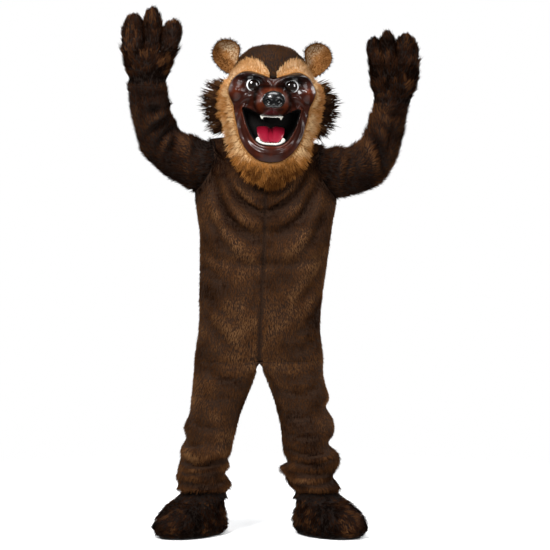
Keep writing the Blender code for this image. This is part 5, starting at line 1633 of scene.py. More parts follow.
def ear_grid(side, inset):
    """A round cup that opens forward, its edge cut back where it meets the crown."""
    angle = full_turn(EAR_COLUMNS)
    share = np.linspace(1.0, 0.2, 161)[:, None]
    x = EAR_X + EAR_RADIUS * share * np.cos(angle)
    height = EAR_HEIGHT + EAR_RADIUS * share * np.sin(angle)
    skull = np.where(height < CROWN_TOP, curve_through(SKULL, height, "half_width") + EAR_GAP, 0.0)
    clear = np.argmax(x > skull, axis=0)
    reach = share[clear, 0]
    rings = []
    for t in EAR_STEPS:
        radius = (EAR_RADIUS - inset) * t * reach
        y = EAR_CUP * (1 - t * t) - EAR_LIP * t * t
        ring = points_of(side * (EAR_X + radius * np.cos(angle)), y, radius * np.sin(angle))
        rings.append(ring + [0.0, 0.0, EAR_HEIGHT - FACE_HEIGHT])
    return np.stack(rings), np.array([side * EAR_X, EAR_CUP, EAR_HEIGHT - FACE_HEIGHT])


def turned(points):
    """Points of the head's frame in the costume's own: tilted about Y, turned about Z, then moved."""
    tilt, turn = math.radians(HEAD_TILT), math.radians(HEAD_TURN)
    c, s = math.cos(tilt), math.sin(tilt)
    about_y = np.array([[c, 0, s], [0, 1, 0], [-s, 0, c]])
    c, s = math.cos(turn), math.sin(turn)
    about_z = np.array([[c, -s, 0], [s, c, 0], [0, 0, 1]])
    return points @ (about_z @ about_y).T + [HEAD_X, 0.0, level(FACE_HEIGHT)]


# %% [markdown]
# ## Crown and back
#
# The crown and the back of the head are covered in the darkest plush, which is brushed back over the top and
# hangs down the neck.

# %% Crown and back, dressed
HEAD_SET_BACK = 0.0085
CROWN_PILE = SUIT_PILE._replace(length=0.018, width=0.0028, spacing=0.0042)
HEAD_BACK_PILE = CROWN_PILE._replace(spacing=0.0050)


def dress_crown(seed):
    """The crown: level rings that close at the top, with pile that is brushed back."""
    turn = full_turn(2 * HEAD_COLUMNS)
    rings = np.stack([head_ring(height, turn) for height in CROWN_HEIGHTS])
    top = np.array([0.0, 0.0, CROWN_TOP - FACE_HEIGHT])
    sheets, tips = [], []
    for depth in (HEAD_SET_BACK, HEAD_SET_BACK + CLOTH):
        grid = fine(pointed(set_in(rings, depth, [0]), top - [0, 0, depth]), 5, 2, True)
        tips.append(turned(grid[-1, 0]))
        sheets.append(turned(rumpled(grid[:-1], normals_of(grid[:-1], True), 0.05, 0.001, seed)))
    dress_tube(
        "head_crown", sheets, CROWN_PILE, lambda points: body_shade(points, seed) - 0.10, CROWN_FUR, seed,
        nap=one_way(0.0, 1.0, 0.15), tips=tips,
    )


def dress_head_back(seed):
    """The back of the head: from one cheek round to the other, with a cape low on the neck."""
    edge = math.radians(BACK_EDGE_ANGLE)
    turn = np.linspace(edge, 2 * math.pi - edge, 2 * HEAD_COLUMNS)
    high, low = BACK_SIDE_HEIGHTS
    bottom = blend(low, CAPE_HEIGHT, np.clip(-np.cos(turn), 0, 1) ** CAPE_CURVE)
    shares = np.linspace(0, 1, 2 * BACK_ROWS + 1)
    rings = np.stack([head_ring(blend(high - SEAM, bottom, t), turn) for t in shares])
    sheets = []
    for depth in (HEAD_SET_BACK, HEAD_SET_BACK + CLOTH):
        grid = fine(set_in(rings, depth, [0], False, HEAD_MIDDLE), 2, 2, False)
        sheets.append(turned(rumpled(grid, normals_of(grid, False, HEAD_MIDDLE), 0.06, 0.002, seed)))
    dress_tube(
        "head_back", sheets, HEAD_BACK_PILE, lambda points: body_shade(points, seed) - 0.08, CROWN_FUR, seed,
        around=False,
    )


crown_pile = pile_finish(
    "acrylic plush, dark brown, brushed back",
    ((0.0, "#0E0602"), (0.5, "#4E3018"), (1.0, "#86603A")),
    SOFT_ROOT_SHADE,
)
CROWN_FUR = Fur(crown_pile, dark_backing, "fur_dark")
dress_crown(71)
dress_head_back(72)

# %% [markdown]
# ## Beard, ruff and brow bands
#
# Tan fur frames the face. It is short on the brow, and long at the cheeks and under the chin, where it lies
# outward from the face's rim like the spokes of a wheel. Beside the moulded face it turns almost white.

# %% Tan fur, dressed
RUFF_PILE = Pile(0.030, 0.0030, 0.0036, 34.0, 24.0, 0.024, 0.55, 2)
BROW_PILE = Pile(0.015, 0.0026, 0.0031, 28.0, 12.0, 0.014, 0.35, 1)
# How one kind of tan fur is dressed: how far its cloth is set back, and how far its locks pass the cloth.
Band = namedtuple("Band", "kind set_back reach fur")
RIM_PALE = 0.030
CHIN_HEIGHT = 1.52
BROW_HEIGHT = 1.78


def fine_spokes(start, stop, times):
    """Spokes from start to stop, closer together, with a small seam kept at both ends."""
    spokes = np.linspace(start, stop, times * (stop - start) + 1)
    spokes[0] += SPOKE_SEAM
    spokes[-1] -= SPOKE_SEAM
    return spokes


def dress_ruff(name, start, stop, band, seed):
    """One piece of tan fur: rows run out from the face's rim, and so does the pile, which passes the cloth's
    outer edge by its reach. The pile is shorter and paler at the rim, with a painted shadow under the chin."""
    coarse = fur_edge_grid(fine_spokes(start, stop, 5))
    outer = finer(coarse + [0.0, band.set_back, 0.0], 6, 0)
    away = np.linalg.norm(outer[-1] - outer[0], axis=1)
    rows = np.linspace(0, 1, len(outer))[:, None] * (1 - band.reach / away)[None] * (len(outer) - 1)
    columns = np.broadcast_to(np.arange(outer.shape[1]), rows.shape)
    outer = on_grid(outer, rows.ravel(), columns.ravel().astype(float), False).reshape(outer.shape)
    outer = rumpled(outer, normals_of(outer, False, HEAD_MIDDLE), 0.035, 0.0022, seed)
    sheets = [turned(outer), turned(outer + [0.0, CLOTH, 0.0])]
    rim = sheets[0][0][::3]

    def shade(points):
        own = tuft_number(points, band.kind.tuft, seed)
        pale = bell(distance_to(points, rim), RIM_PALE)
        # Painted shadow of the chin: the pile below it is darker.
        under = ramp_up(level(CHIN_HEIGHT) - points[:, 2], 0.06)
        brow = ramp_up(points[:, 2] - level(BROW_HEIGHT), 0.02)
        base = 0.36 + 0.30 * own + 0.14 * soft_noise(points, 0.05, seed)
        return base + 0.34 * pale * (1 - 0.7 * under) - 0.36 * under - 0.04 * brow

    def lengths(points):
        return np.clip(0.5 + distance_to(points, rim) / 0.05, 0.5, 1.1)

    dress_tube(name, sheets, band.kind, shade, band.fur, seed, lengths=lengths, around=False)


RUFF = Band(RUFF_PILE, 0.012, 0.022, Fur(tan_pile, tan_backing, "fur_tan"))
dress_ruff("beard", -BEARD_END, BEARD_END, RUFF, 81)
dress_ruff("cheek_ruff_left", -RUFF_END, -BEARD_END, RUFF, 82)
dress_ruff("cheek_ruff_right", BEARD_END, RUFF_END, RUFF, 83)
brow_pile = pile_finish(
    "acrylic plush, pale tan, short",
    ((0.0, "#5A3616"), (0.5, "#A87C50"), (1.0, "#D8B48C")),
    SOFT_ROOT_SHADE,
)
BROW = Band(BROW_PILE, 0.007, 0.008, Fur(brow_pile, tan_backing, "fur_tan"))
dress_ruff("brow_band_left", -BROW_END, -RUFF_END, BROW, 84)
dress_ruff("brow_band_right", RUFF_END, BROW_END, BROW, 85)

# %% [markdown]
# ## Manes
#
# Behind the ruff, a fringe of long dark locks stands out on each side of the head. The maker sews a strip of
# long pile on edge. Each lock is clumped and stiff, and ends in a point.

# %% Manes, dressed
MANE_PILE = Pile(0.058, 0.0034, 0.0042, 22.0, 10.0, 0.025, 0.90, 3)
MANE_REACH = 0.026
MANE_FUR = Fur(dark_pile, dark_backing, "fur_dark")


def dress_mane(name, side, seed):
    """A strip from the skull outward, with pointed locks that leave along it and reach past its edge."""
    heights = np.linspace(MANE_EDGE[0].height, MANE_EDGE[-1].height, 40)
    half = curve_through(SKULL, heights, "half_width")
    root = half * np.sqrt(1 - (MANE_BACK / curve_through(SKULL, heights, "front")) ** 2) + MANE_GAP
    tip = curve_through(MANE_EDGE, heights, "half_width") - MANE_REACH
    t = np.linspace(0.0, 1.0, 12)[:, None]
    y = -MANE_BACK - MANE_CLOTH / 2 + MANE_SWEEP * t
    outer = points_of(side * blend(root[None], tip[None], t), y, heights[None] - FACE_HEIGHT - MANE_DROOP * t)
    sheets = [turned(outer), turned(outer + [0.0, CLOTH, 0.0])]
    middle = turned(np.array([0.0, 0.0, 0.02]))

    def nap(roots):
        return unit((roots - middle) * [1.0, 0.0, 1.0]) + np.array([0.0, 0.0, -0.10])

    def shade(points):
        outer = np.clip(np.abs(points[:, 0] - middle[0]) - 0.20, 0, 0.02) / 0.02
        return 0.15 + 0.35 * tuft_number(points, MANE_PILE.tuft, seed) + 0.2 * (1 - outer)

    dress_tube(f"mane_{name}", sheets, MANE_PILE, shade, MANE_FUR, seed, nap=nap, around=False)


dress_mane("left", LEFT, 91)
dress_mane("right", RIGHT, 92)

# %% [markdown]
# ## Ears
#
# Each ear is a round cup. Its back and rim are dark plush, brushed up over the edge. Its lining is light tan
# at the top and toward the head, and rust brown low on the outside.

# %% Ears, dressed
EAR_PILE = Pile(0.015, 0.0026, 0.0034, 34.0, 14.0, 0.016, 0.35, 1)
LINING_PILE = Pile(0.012, 0.0025, 0.0031, 30.0, 12.0, 0.014, 0.35, 1)
# The two cups: how far each is inset from the rim and stands forward, how far its edge is set back under the
# pile, and how thick its cloth is, to the front where negative.
Cup = namedtuple("Cup", "name inset forward set_back thick pile")
CUPS = (
    Cup("back", 0.0, 0.003, 0.010, -0.002, EAR_PILE),
    Cup("lining", EAR_LINING, EAR_CLOTH + 0.001 + 0.0015, 0.007, 0.002, LINING_PILE),
)
# How far the cups grow toward the crown, which way that is for the right ear, and the share at each ring.
EAR_ROOT = 0.026
EAR_ROOT_WAY = (-0.50, -0.87)
EAR_ROOT_SHARES = np.array([1.0, 0.9, 0.75, 0.5, 0.25, 0.0])


def dress_ear(name, side, seed):
    """The ear's two cups, one inside the other, each from the rim to its deepest point. Toward the head's
    crown, low on the inner side, both are wider, so that no gap shows at the root."""
    forward = turned(np.array([0.0, -1.0, 0.0])) - turned(np.zeros(3))
    root_way = np.array([EAR_ROOT_WAY[0] * side, 0.0, EAR_ROOT_WAY[1]])
    for cup in CUPS:
        rings, centre = ear_grid(side, cup.inset)
        near = np.array([0.0, -cup.forward, 0.0])
        shrink = 1 - cup.set_back / EAR_RADIUS
        flat = unit((rings - centre) * [1.0, 0.0, 1.0])
        cut = np.clip(flat[0] @ root_way, 0, 1) ** 3
        grown = (rings - centre) * [shrink, 1.0, shrink]
        grown += EAR_ROOT_SHARES[:, None, None] * EAR_ROOT * cut[None, :, None] * flat
        grid = fine(pointed(grown + centre + near, centre + near), 3, 4, True)
        thick = np.array([0.0, cup.thick, 0.0])
        sheets = [turned(grid[:-1]), turned(grid[:-1] + thick)]
        tips = [turned(grid[-1, 0]), turned(grid[-1, 0] + thick)]
        dress_cup(f"ear_{cup.name}_{name}", cup, sheets, tips, turned(centre), forward, side, seed)


def dress_cup(name, cup, sheets, tips, middle, forward, side, seed):
    """One cup of an ear. The pile of the back runs to the rim and over it. The lining's runs outward: light
    at the top, rust low on the outside, and dark along the rim."""
    row, _, roots, normals = rooted(sheets[0], True, cup.pile.spacing, seed)
    is_back = cup.name == "back"
    toward = -1.0 if is_back else 1.0
    normals = normals * np.sign((normals @ forward) * toward)[:, None]
    away = roots - middle
    away -= (away @ forward)[:, None] * forward
    naps = unit(away)
    if is_back:
        fur = CROWN_FUR
        past_rim = np.linalg.norm(away, axis=1) / EAR_RADIUS - 0.8
        naps = naps + 0.9 * np.clip(past_rim, 0, 1)[:, None] * forward
        shade = body_shade(roots, seed)
    else:
        fur = LINING_FUR
        aside, up = side * away[:, 0] / EAR_RADIUS, away[:, 2] / EAR_RADIUS
        rust = 1 / (1 + np.exp(-12.0 * (aside * 0.8 - up * 0.75 - 0.04)))
        edge = np.clip(1.5 - row / 3, 0, 1) * np.clip(0.50 - 0.8 * aside + 0.6 * up, 0, 1)
        shade = 0.94 - 0.80 * rust + 0.16 * soft_noise(roots, 0.02, seed) - 0.95 * edge
    cloth = closed_wall(f"cloth_{name}", *sheets, True, fur.backing, tips)
    pile = grow_pile(f"pile_{name}", roots, normals, naps, cup.pile, shade, fur.pile, seed)
    size = float(2.05 * EAR_RADIUS)
    area = min(float(cell_areas(sheets[0], True).sum()), size * size)
    declare(cloth, name, (size, size), area)


ear_lining_pile = pile_finish(
    "acrylic plush, tan to rust, short",
    ((0.0, "#241004"), (0.32, "#743E16"), (0.62, "#CFA070"), (1.0, "#F2D8B2")),
    SOFT_ROOT_SHADE,
)
LINING_FUR = Fur(ear_lining_pile, tan_backing, "fur_tan")
for side_name, side in SIDES.items():
    dress_ear(side_name, side, 95 + side)

# %% [markdown]
# ## The moulded face
#
# The face is cast in a flexible plastic about 3 mm thick and sprayed with a clear gloss over mottled browns.
# Its form is one depth for each point seen from the front: a round head plus swellings for the muzzle, the
# brows, the cheeks and the chin. Folds of skin are added as grooves and ridges in the same way.

# %% Face sizes
MASK_WALL = 0.0035
EYE_X = 0.074
EYE_HEIGHT = 1.771
EYE_SIZE = (0.0285, 0.0200, 0.0285)
EYE_SUNK = 0.0075
NOSE_SIZE = (0.0445, 0.0300, 0.0350)
NOSE_HEIGHT = 1.715
NOSE_DEPTH = 0.331

# The tongue lies in the open mouth, from its root to its tip behind the lower teeth.
TONGUE_HALF_WIDTH = 0.054
TONGUE_THICKNESS = 0.017
TONGUE_ROOT_DEPTH = 0.150
TONGUE_TIP_DEPTH = 0.2018
TONGUE_ROOT_HEIGHT = 1.606
TONGUE_TIP_HEIGHT = 1.554
TONGUE_ARCH = 0.008
TONGUE_GROOVE = 0.006
TONGUE_END_TINTS = (0.1, 0.3)

# Rows of teeth along the mouth's edge, each one bar with two fangs.
Teeth = namedtuple("Teeth", "inset behind half_thick body fang_x fang_wide fang_length")
LOWER_TEETH = Teeth(0.0085, 0.0150, 0.0045, 0.0050, 0.047, 0.006, 0.0130)
UPPER_TEETH = Teeth(0.0040, 0.0130, 0.0030, 0.0030, 0.037, 0.005, 0.0104)
LOWER_TEETH_SPOKES = 3.3
UPPER_TEETH_HALF_WIDTH = 0.043


def mouth_path(spokes, teeth):
    """A path inside the mouth's edge, moved in toward the mouth's middle and back from the lip."""
    x, height = spoke_points(spokes, "mouth", "mouth", 0.0)
    middle = (SPOKES[0].mouth_height + SPOKES[-1].mouth_height) / 2
    away = np.hypot(x, height - middle)
    depth = face_depth(x, height) - teeth.behind
    x = x * (1 - teeth.inset / away)
    height = middle + (height - middle) * (1 - teeth.inset / away)
    return np.column_stack([x, -depth, height - FACE_HEIGHT])


def fang_reach(x, teeth):
    """How far the row of teeth reaches toward the other row: its body, and a fang on each side."""
    return teeth.body + teeth.fang_length * np.exp(-(((np.abs(x) - teeth.fang_x) / teeth.fang_wide) ** 2))


# %% Skin folds of the face, on the right side: the left side mirrors them
SKIN_FOLDS = (
    Fold(0.062, 1.735, 0.088, 1.706, 0.112, 1.668, 0.0075, 0.0075),
    Fold(0.070, 1.745, 0.102, 1.722, 0.128, 1.690, -0.0050, 0.0080),
    Fold(0.098, 1.712, 0.122, 1.690, 0.134, 1.650, 0.0045, 0.0060),
    Fold(0.120, 1.716, 0.146, 1.702, 0.162, 1.716, 0.0060, 0.0070),
    Fold(0.002, 1.772, 0.072, 1.808, 0.140, 1.806, -0.0260, 0.0110),
    Fold(0.022, 1.764, 0.070, 1.791, 0.124, 1.784, 0.0090, 0.0055),
    Fold(0.040, 1.748, 0.074, 1.736, 0.108, 1.752, 0.0040, 0.0055),
    Fold(0.116, 1.640, 0.118, 1.600, 0.098, 1.556, 0.0040, 0.0070),
    Fold(0.010, 1.508, 0.055, 1.520, 0.090, 1.552, -0.0050, 0.0090),
    Fold(0.020, 1.760, 0.024, 1.780, 0.022, 1.800, 0.0030, 0.0045),
    Fold(0.000, 1.790, 0.000, 1.776, 0.000, 1.762, 0.0020, 0.0040),
)
LIP_ROLL = 0.0050
LIP_REACH = 0.007
MUZZLE_HALF = (0.061, 0.050)
MUZZLE_HEIGHT = 1.712
MUZZLE_RISE = 0.010
MUZZLE_SQUARENESS = 3.4
# A shallow groove runs round the muzzle's foot, just outside its edge.
MUZZLE_FOOT = 1.12
MUZZLE_GROOVE = 0.004
SOCKET_DEPTH = 0.010
SOCKET_REACH = 0.032
# Where the paint is darker or lighter: above the brow line, on the cheeks, and in the shadow over the lip.
BROW_LINE = 1.785
CHEEK_X = 0.146
CHEEK_HEIGHT = 1.748
CHEEK_REACH = 0.024
LIP_SHADOW_HEIGHT = 1.672
LIP_SHADOW = (0.040, 0.012)


def skin_folds(x, height):
    """How far the folds press the skin in, the same on both sides."""
    return fold_relief(points_of(np.abs(x), 0.0, level(height)), SKIN_FOLDS)


def inside_muzzle(edge):
    """1 well inside the muzzle's block, 0 outside it, and a smooth step between."""
    return 1 / (1 + np.exp(16 * (edge - 1)))


def skin_depth(x, height, lip):
    """The face's depth with its folds, and a rolled lip round the mouth where lip is the distance to it."""
    depth = face_depth(x, height) - skin_folds(x, height)
    from_eye = np.hypot(np.abs(x) - EYE_X, height - EYE_HEIGHT)
    depth = depth - SOCKET_DEPTH * np.exp(-((from_eye / SOCKET_REACH) ** 4))
    edge = muzzle_edge(x, height)
    depth = depth + MUZZLE_RISE * inside_muzzle(edge) - MUZZLE_GROOVE * bell(edge - MUZZLE_FOOT, 0.08)
    return depth + LIP_ROLL * bell(lip - 0.6 * LIP_REACH, LIP_REACH)


def muzzle_edge(x, height):
    """1 on the rounded square round the muzzle's block, less inside it."""
    aside, up = np.abs(x) / MUZZLE_HALF[0], np.abs(height - MUZZLE_HEIGHT) / MUZZLE_HALF[1]
    return (aside**MUZZLE_SQUARENESS + up**MUZZLE_SQUARENESS) ** (1 / MUZZLE_SQUARENESS)


def skin_tint(x, height, lip):
    """How light the paint is: dark on the brows and round the eyes, lighter on the muzzle, the cheeks and
    the lip, with painted shade in the folds and round the muzzle's foot, and a painted shadow above the lip."""
    # Painted shade in the skin's creases.
    tint = 0.36 - 16.0 * np.clip(skin_folds(x, height), 0, 1)
    from_eye = np.hypot(np.abs(x) - EYE_X, (height - EYE_HEIGHT - 0.008) * 1.1)
    tint = tint - 0.22 * bell(from_eye, 0.040) - 0.14 * ramp_up(height - BROW_LINE, 0.02)
    tint = tint + 0.12 * bell(np.abs(x) - CHEEK_X, CHEEK_REACH) * bell(height - CHEEK_HEIGHT, CHEEK_REACH)
    edge = muzzle_edge(x, height)
    # The muzzle's block is lighter, with painted shade in the groove round its foot.
    tint = tint + 0.12 * inside_muzzle(edge) - 0.20 * bell(edge - MUZZLE_FOOT, 0.09)
    tint = tint - 0.2 * bell(x, LIP_SHADOW[0]) * bell(height - LIP_SHADOW_HEIGHT, LIP_SHADOW[1])
    return np.clip(tint + 0.08 * bell(lip, 0.012), 0.02, 0.8)


# %% Finishes of the face
def cast_finish(name, stops, **sockets):
    """Airbrushed plastic: each point's tint, with a noise added, runs through a ramp of colours."""
    material, shader = new_finish(name, **sockets)
    place = add(material, "TexCoord")
    veins = add(material, "TexNoise", {"Vector": place.outputs["Object"], "Scale": 26.0, "Detail": 3.0})
    tint = add(material, "Attribute", attribute_name="tint")
    spread = add(material, "Math", {0: veins.outputs["Fac"], 1: 0.30}, operation="MULTIPLY")
    both = add(material, "Math", {0: spread.outputs["Value"], 1: tint.outputs["Fac"]}, operation="ADD")
    colour = colour_on(material, both.outputs["Value"], stops)
    bump = add(material, "Bump", {"Height": veins.outputs["Fac"], "Strength": 0.25, "Distance": 0.0008})
    return painted(material, shader, colour, bump.outputs["Normal"])


NET_PITCH = 0.0022


def screen_finish():
    """Black mesh in the mouth: a fine square net of threads, a little lighter than the dark gaps."""
    material, shader = new_finish("woven mesh, black polyester", Roughness=0.85, Specular_IOR_Level=0.2)
    place = add(material, "TexCoord")
    parts = add(material, "SeparateXYZ", {"Vector": place.outputs["Object"]})
    waves = []
    for axis in ("X", "Z"):
        turns = {0: parts.outputs[axis], 1: 2 * math.pi / NET_PITCH}
        angle = add(material, "Math", turns, operation="MULTIPLY").outputs["Value"]
        waves.append(add(material, "Math", {0: angle}, operation="SINE").outputs["Value"])
    net = add(material, "Math", {0: waves[0], 1: waves[1]}, operation="MAXIMUM")
    # The gaps are painted darker than the threads, as the shade inside the head that shows through them.
    colour = colour_on(material, net.outputs["Value"], ((0.2, "#020202"), (0.9, "#16110F")))
    return painted(material, shader, colour)


def eye_finish():
    """Painted acrylic eye: v runs from the pole in front to the back, black iris, then white."""
    material, shader = new_finish(
        "cast acrylic eye, painted", Roughness=0.08, Coat_Weight=1.0, Coat_Roughness=0.02
    )
    chart = add(material, "UVMap", uv_map=UV_MAP)
    place = add(material, "SeparateXYZ", {"Vector": chart.outputs["UV"]})
    stops = ((0.0, "#050403"), (0.30, "#FFFFFF"), (0.18, "#1A0F09"), (0.285, "#0A0705"), (0.9, "#E8E4DC"))
    return painted(material, shader, colour_on(material, place.outputs["Y"], stops))


cast_skin = cast_finish(
    "cast plastic skin, airbrushed browns, clear coat",
    ((0.26, "#0A0301"), (0.52, "#2E0F06"), (0.74, "#66290F")),
    Roughness=0.34, Specular_IOR_Level=0.14, Coat_Weight=0.24, Coat_Roughness=0.06,
)
tongue_gloss = cast_finish(
    "cast plastic, tongue red",
    ((0.15, "#24020A"), (0.5, "#740A1E"), (0.9, "#A61A38")),
    Roughness=0.28, Coat_Weight=0.4, Coat_Roughness=0.05,
)
COAT = {"Coat_Weight": 0.5, "Coat_Roughness": 0.05}
nose_gloss = two_tone("cast plastic, black gloss", "#030303", "#0C0A0A", 60.0, 0.0002, Roughness=0.26, **COAT)
tooth_gloss = two_tone("cast resin, tooth white", "#D8D4C6", "#F4F2EA", 40.0, 0.0003, Roughness=0.20, **COAT)
mouth_screen = screen_finish()
painted_eye = eye_finish()
sole_rubber = two_tone("pressed rubber sole, near black", "#0C0A09", "#1C1816", 200.0, 0.0006, Roughness=0.7)


# %% Face, eyes and nose
def set_tint(obj, values):
    """Each point's lightness, which the airbrushed finish reads."""
    obj.data.attributes.new("tint", "FLOAT", "POINT").data.foreach_set("value", values.astype(np.float32))


def make_face():
    """The mask: rows from its rim to the mouth, columns round the spokes, and the wall behind it."""
    last = len(SPOKES) - 1
    shares = np.concatenate([np.linspace(0, last, 6 * last + 1), -np.linspace(last, 0, 6 * last + 1)[1:-1]])
    t = np.linspace(0, 1, 56)[:, None]
    x, height = spoke_points(shares[None], "rim", "mouth", t)
    mouth_x, mouth_h = spoke_points(shares, "mouth", "mouth", 0.0)
    lip = np.hypot(x - mouth_x, height - mouth_h)
    depth = skin_depth(x, height, lip)
    outer = np.stack([x, -depth, height - FACE_HEIGHT], axis=2)
    inner = outer - MASK_WALL * normals_of(outer, True, np.array([0.0, 0.3, 0.0]))
    face = closed_wall("moulded_face", turned(outer), turned(inner), True, cast_skin)
    set_tint(face, np.tile(skin_tint(x, height, lip).reshape(-1), 2))
    return face


def ball_grid(place, radii, rows, columns, pits=()):
    """A ball whose pole faces forward: rings from the front pole back, pressed in at the pits, whose sizes
    are shares of the radii."""
    polar = np.linspace(0, math.pi, rows + 2)[1:-1, None]
    turn = full_turn(columns)
    x = np.sin(polar) * np.cos(turn)
    y = -np.cos(polar)
    z = np.sin(polar) * np.sin(turn)
    sunk = np.zeros_like(x)
    for pit in pits:
        near = ((x - pit.x) ** 2 + (z - pit.z) ** 2) / pit.wide**2
        sunk += pit.deep * np.exp(-(near**1.5)) * (y < 0)
    poles = np.array([[0.0, -1.0, 0.0], [0.0, 1.0, 0.0]]) * radii + place
    return points_of(x, y + sunk, z) * radii + place, poles


def closed_ball(name, grid, poles, material, chart=False):
    """A closed ball from its rings and two poles. With a chart, v runs from the front pole to the back."""
    rows, columns = grid.shape[:2]
    obj = closed_form(name, turned(grid), turned(poles), material)
    if chart:
        v = np.concatenate([np.repeat((np.arange(rows) + 1) / (rows + 1), columns), [0.0, 1.0]])
        corners = np.empty(len(obj.data.loops), np.int32)
        obj.data.loops.foreach_get("vertex_index", corners)
        u = (corners % columns) / columns
        set_chart(obj, np.stack([u, np.clip(v[corners], 0.01, 0.99)], axis=1))
    return obj


def closed_form(name, rings, ends, material):
    """A filled form through rings, closed at its first and last ring by a fan to each of two end points."""
    rows, columns = rings.shape[:2]
    points = np.concatenate([rings.reshape(-1, 3), ends])
    j = np.arange(columns)
    k = (j + 1) % columns
    end = (rows - 1) * columns
    faces = [
        grid_faces(rows, columns, True),
        np.stack([k, j, np.full(columns, rows * columns)], axis=1),
        np.stack([end + j, end + k, np.full(columns, rows * columns + 1)], axis=1),
    ]
    return new_mesh(name, points, facing_out(points, faces), material)


def filled_tube(name, rings, material):
    """A filled form whose two ends close at their rings' middles."""
    return closed_form(name, rings, [rings[0].mean(0), rings[-1].mean(0)], material)


def hard_piece(obj, node):
    """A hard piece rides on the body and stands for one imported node."""
    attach(obj, "root")
    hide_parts(node)


hard_piece(make_face(), "face_mask")
for side_name, side in SIDES.items():
    depth = float(face_depth(np.array(EYE_X), np.array(EYE_HEIGHT))) - EYE_SUNK
    grid, poles = ball_grid([side * EYE_X, -depth, EYE_HEIGHT - FACE_HEIGHT], EYE_SIZE, 30, 40)
    eye = closed_ball(f"painted_eye_{side_name}", grid, poles, painted_eye, chart=True)
    hard_piece(eye, f"eye_{side_name}")
Pit = namedtuple("Pit", "x z wide deep")
NOSTRILS = (
    Pit(-0.42, -0.22, 0.26, 0.50),
    Pit(0.42, -0.22, 0.26, 0.50),
    Pit(-0.56, -0.02, 0.14, 0.28),
    Pit(0.56, -0.02, 0.14, 0.28),
    Pit(0.0, -0.60, 0.10, 0.14),
)
grid, poles = ball_grid([0.0, -NOSE_DEPTH, NOSE_HEIGHT - FACE_HEIGHT], NOSE_SIZE, 30, 48, NOSTRILS)
hard_piece(closed_ball("moulded_nose", grid, poles, nose_gloss), "nose")

# %% [markdown]
# ## Inside the mouth
#
# The wearer looks out through black mesh behind the open mouth. The tongue has a groove down its middle. Each
# row of teeth is one cast strip with low rounded teeth and two fangs.

# %% Mouth pieces
NOTCH = 0.0016
TOOTH_PITCH = 0.0105


def make_tongue():
    """Oval rings from root to tip, narrower and thinner there, arched, with a groove along the middle."""
    c, s = rounded(full_turn(48), 2.6)
    rings, shaded_tints = [], []
    for t in np.linspace(0, 1, 22):
        half = TONGUE_HALF_WIDTH * math.sqrt(1 - 0.72 * t**4)
        groove = 3.0 * TONGUE_GROOVE * bell(c, 0.16) * np.clip(s, 0, 1)
        thick = TONGUE_THICKNESS / 2 * (1 - 0.4 * t)
        y = -blend(TONGUE_ROOT_DEPTH, TONGUE_TIP_DEPTH, t) + 0.4 * thick * s
        y = y + 0.010 * t**4 * bell(c, 0.14)
        middle = blend(TONGUE_ROOT_HEIGHT, TONGUE_TIP_HEIGHT, t) + TONGUE_ARCH * math.sin(math.pi * t)
        rings.append(points_of(half * c, y, middle - FACE_HEIGHT + thick * s - groove))
        # Painted shade down the groove along the middle; the tint also rises from root to tip.
        shaded_tints.append(0.30 + 0.25 * t - 0.55 * bell(c, 0.10) * np.clip(s + 0.7, 0, 1))
    tongue = filled_tube("cast_tongue", turned(np.stack(rings)), tongue_gloss)
    set_tint(tongue, np.concatenate([*shaded_tints, TONGUE_END_TINTS]))
    return tongue


def tooth_bar(name, path, half_thick, up, down):
    """A rounded bar along a path: ten points round it, with how far it reaches up and down at each step."""
    lift = np.array([0.0, 0.0, 1.0])
    out = unit(np.cross(unit(np.gradient(path, axis=0)), lift))
    rings = []
    for angle in full_turn(10):
        reach = up if math.sin(angle) > 0 else down
        rings.append(path + out * half_thick * math.cos(angle) + lift * (math.sin(angle) * reach)[:, None])
    return filled_tube(name, turned(np.stack(rings, axis=1)), tooth_gloss)


def make_teeth():
    """Both rows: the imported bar, with shallow notches between low teeth."""
    teeth = LOWER_TEETH
    path = mouth_path(np.linspace(-LOWER_TEETH_SPOKES, LOWER_TEETH_SPOKES, 121), teeth)
    along = np.concatenate([[0.0], np.cumsum(np.linalg.norm(np.diff(path, axis=0), axis=1))])
    notch = NOTCH * np.abs(np.cos(math.pi * (along - along[-1] / 2) / TOOTH_PITCH)) ** 6
    up = fang_reach(path[:, 0], teeth) - notch
    lower = tooth_bar("cast_lower_teeth", path, teeth.half_thick, up, np.full_like(up, teeth.body))
    teeth = UPPER_TEETH
    x = np.linspace(-UPPER_TEETH_HALF_WIDTH, UPPER_TEETH_HALF_WIDTH, 91)
    lip_x = [spoke.mouth_x for spoke in SPOKES[:-4:-1]]
    last = len(SPOKES) - 1
    path = mouth_path(np.interp(np.abs(x), lip_x, [last, last - 1, last - 2]), teeth)
    path[:, 0] = x
    notch = 0.6 * NOTCH * np.abs(np.cos(math.pi * x / TOOTH_PITCH)) ** 6
    down = fang_reach(x, teeth) - notch
    upper = tooth_bar("cast_upper_teeth", path, teeth.half_thick, np.full_like(down, teeth.body), down)
    return lower, upper


hard_piece(make_tongue(), "tongue")
lower, upper = make_teeth()
hard_piece(lower, "lower_teeth")
hard_piece(upper, "upper_teeth")

# %% [markdown]
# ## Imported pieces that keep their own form
#
# The soles and the mouth's dark lining are plain enough to show as packed. Each gets its own finish.

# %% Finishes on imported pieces
def finish_packed(node, material):
    """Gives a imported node's object one finish."""
    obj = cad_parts[node]
    obj.data.materials.clear()
    obj.data.materials.append(material)


finish_packed("mouth_lining", mouth_screen)
for side_name in SIDES:
    finish_packed(f"sole_{side_name}", sole_rubber)

# %% [markdown]
# ## The studio
#
# The floor and the background are the same pale tone. The floor is a wide disc whose finish turns to clear
# toward its edge, so no horizon shows from any side. A large soft key stands high on the left of the camera,
# a weaker one on the right, and two strips behind lift the pile's edges.

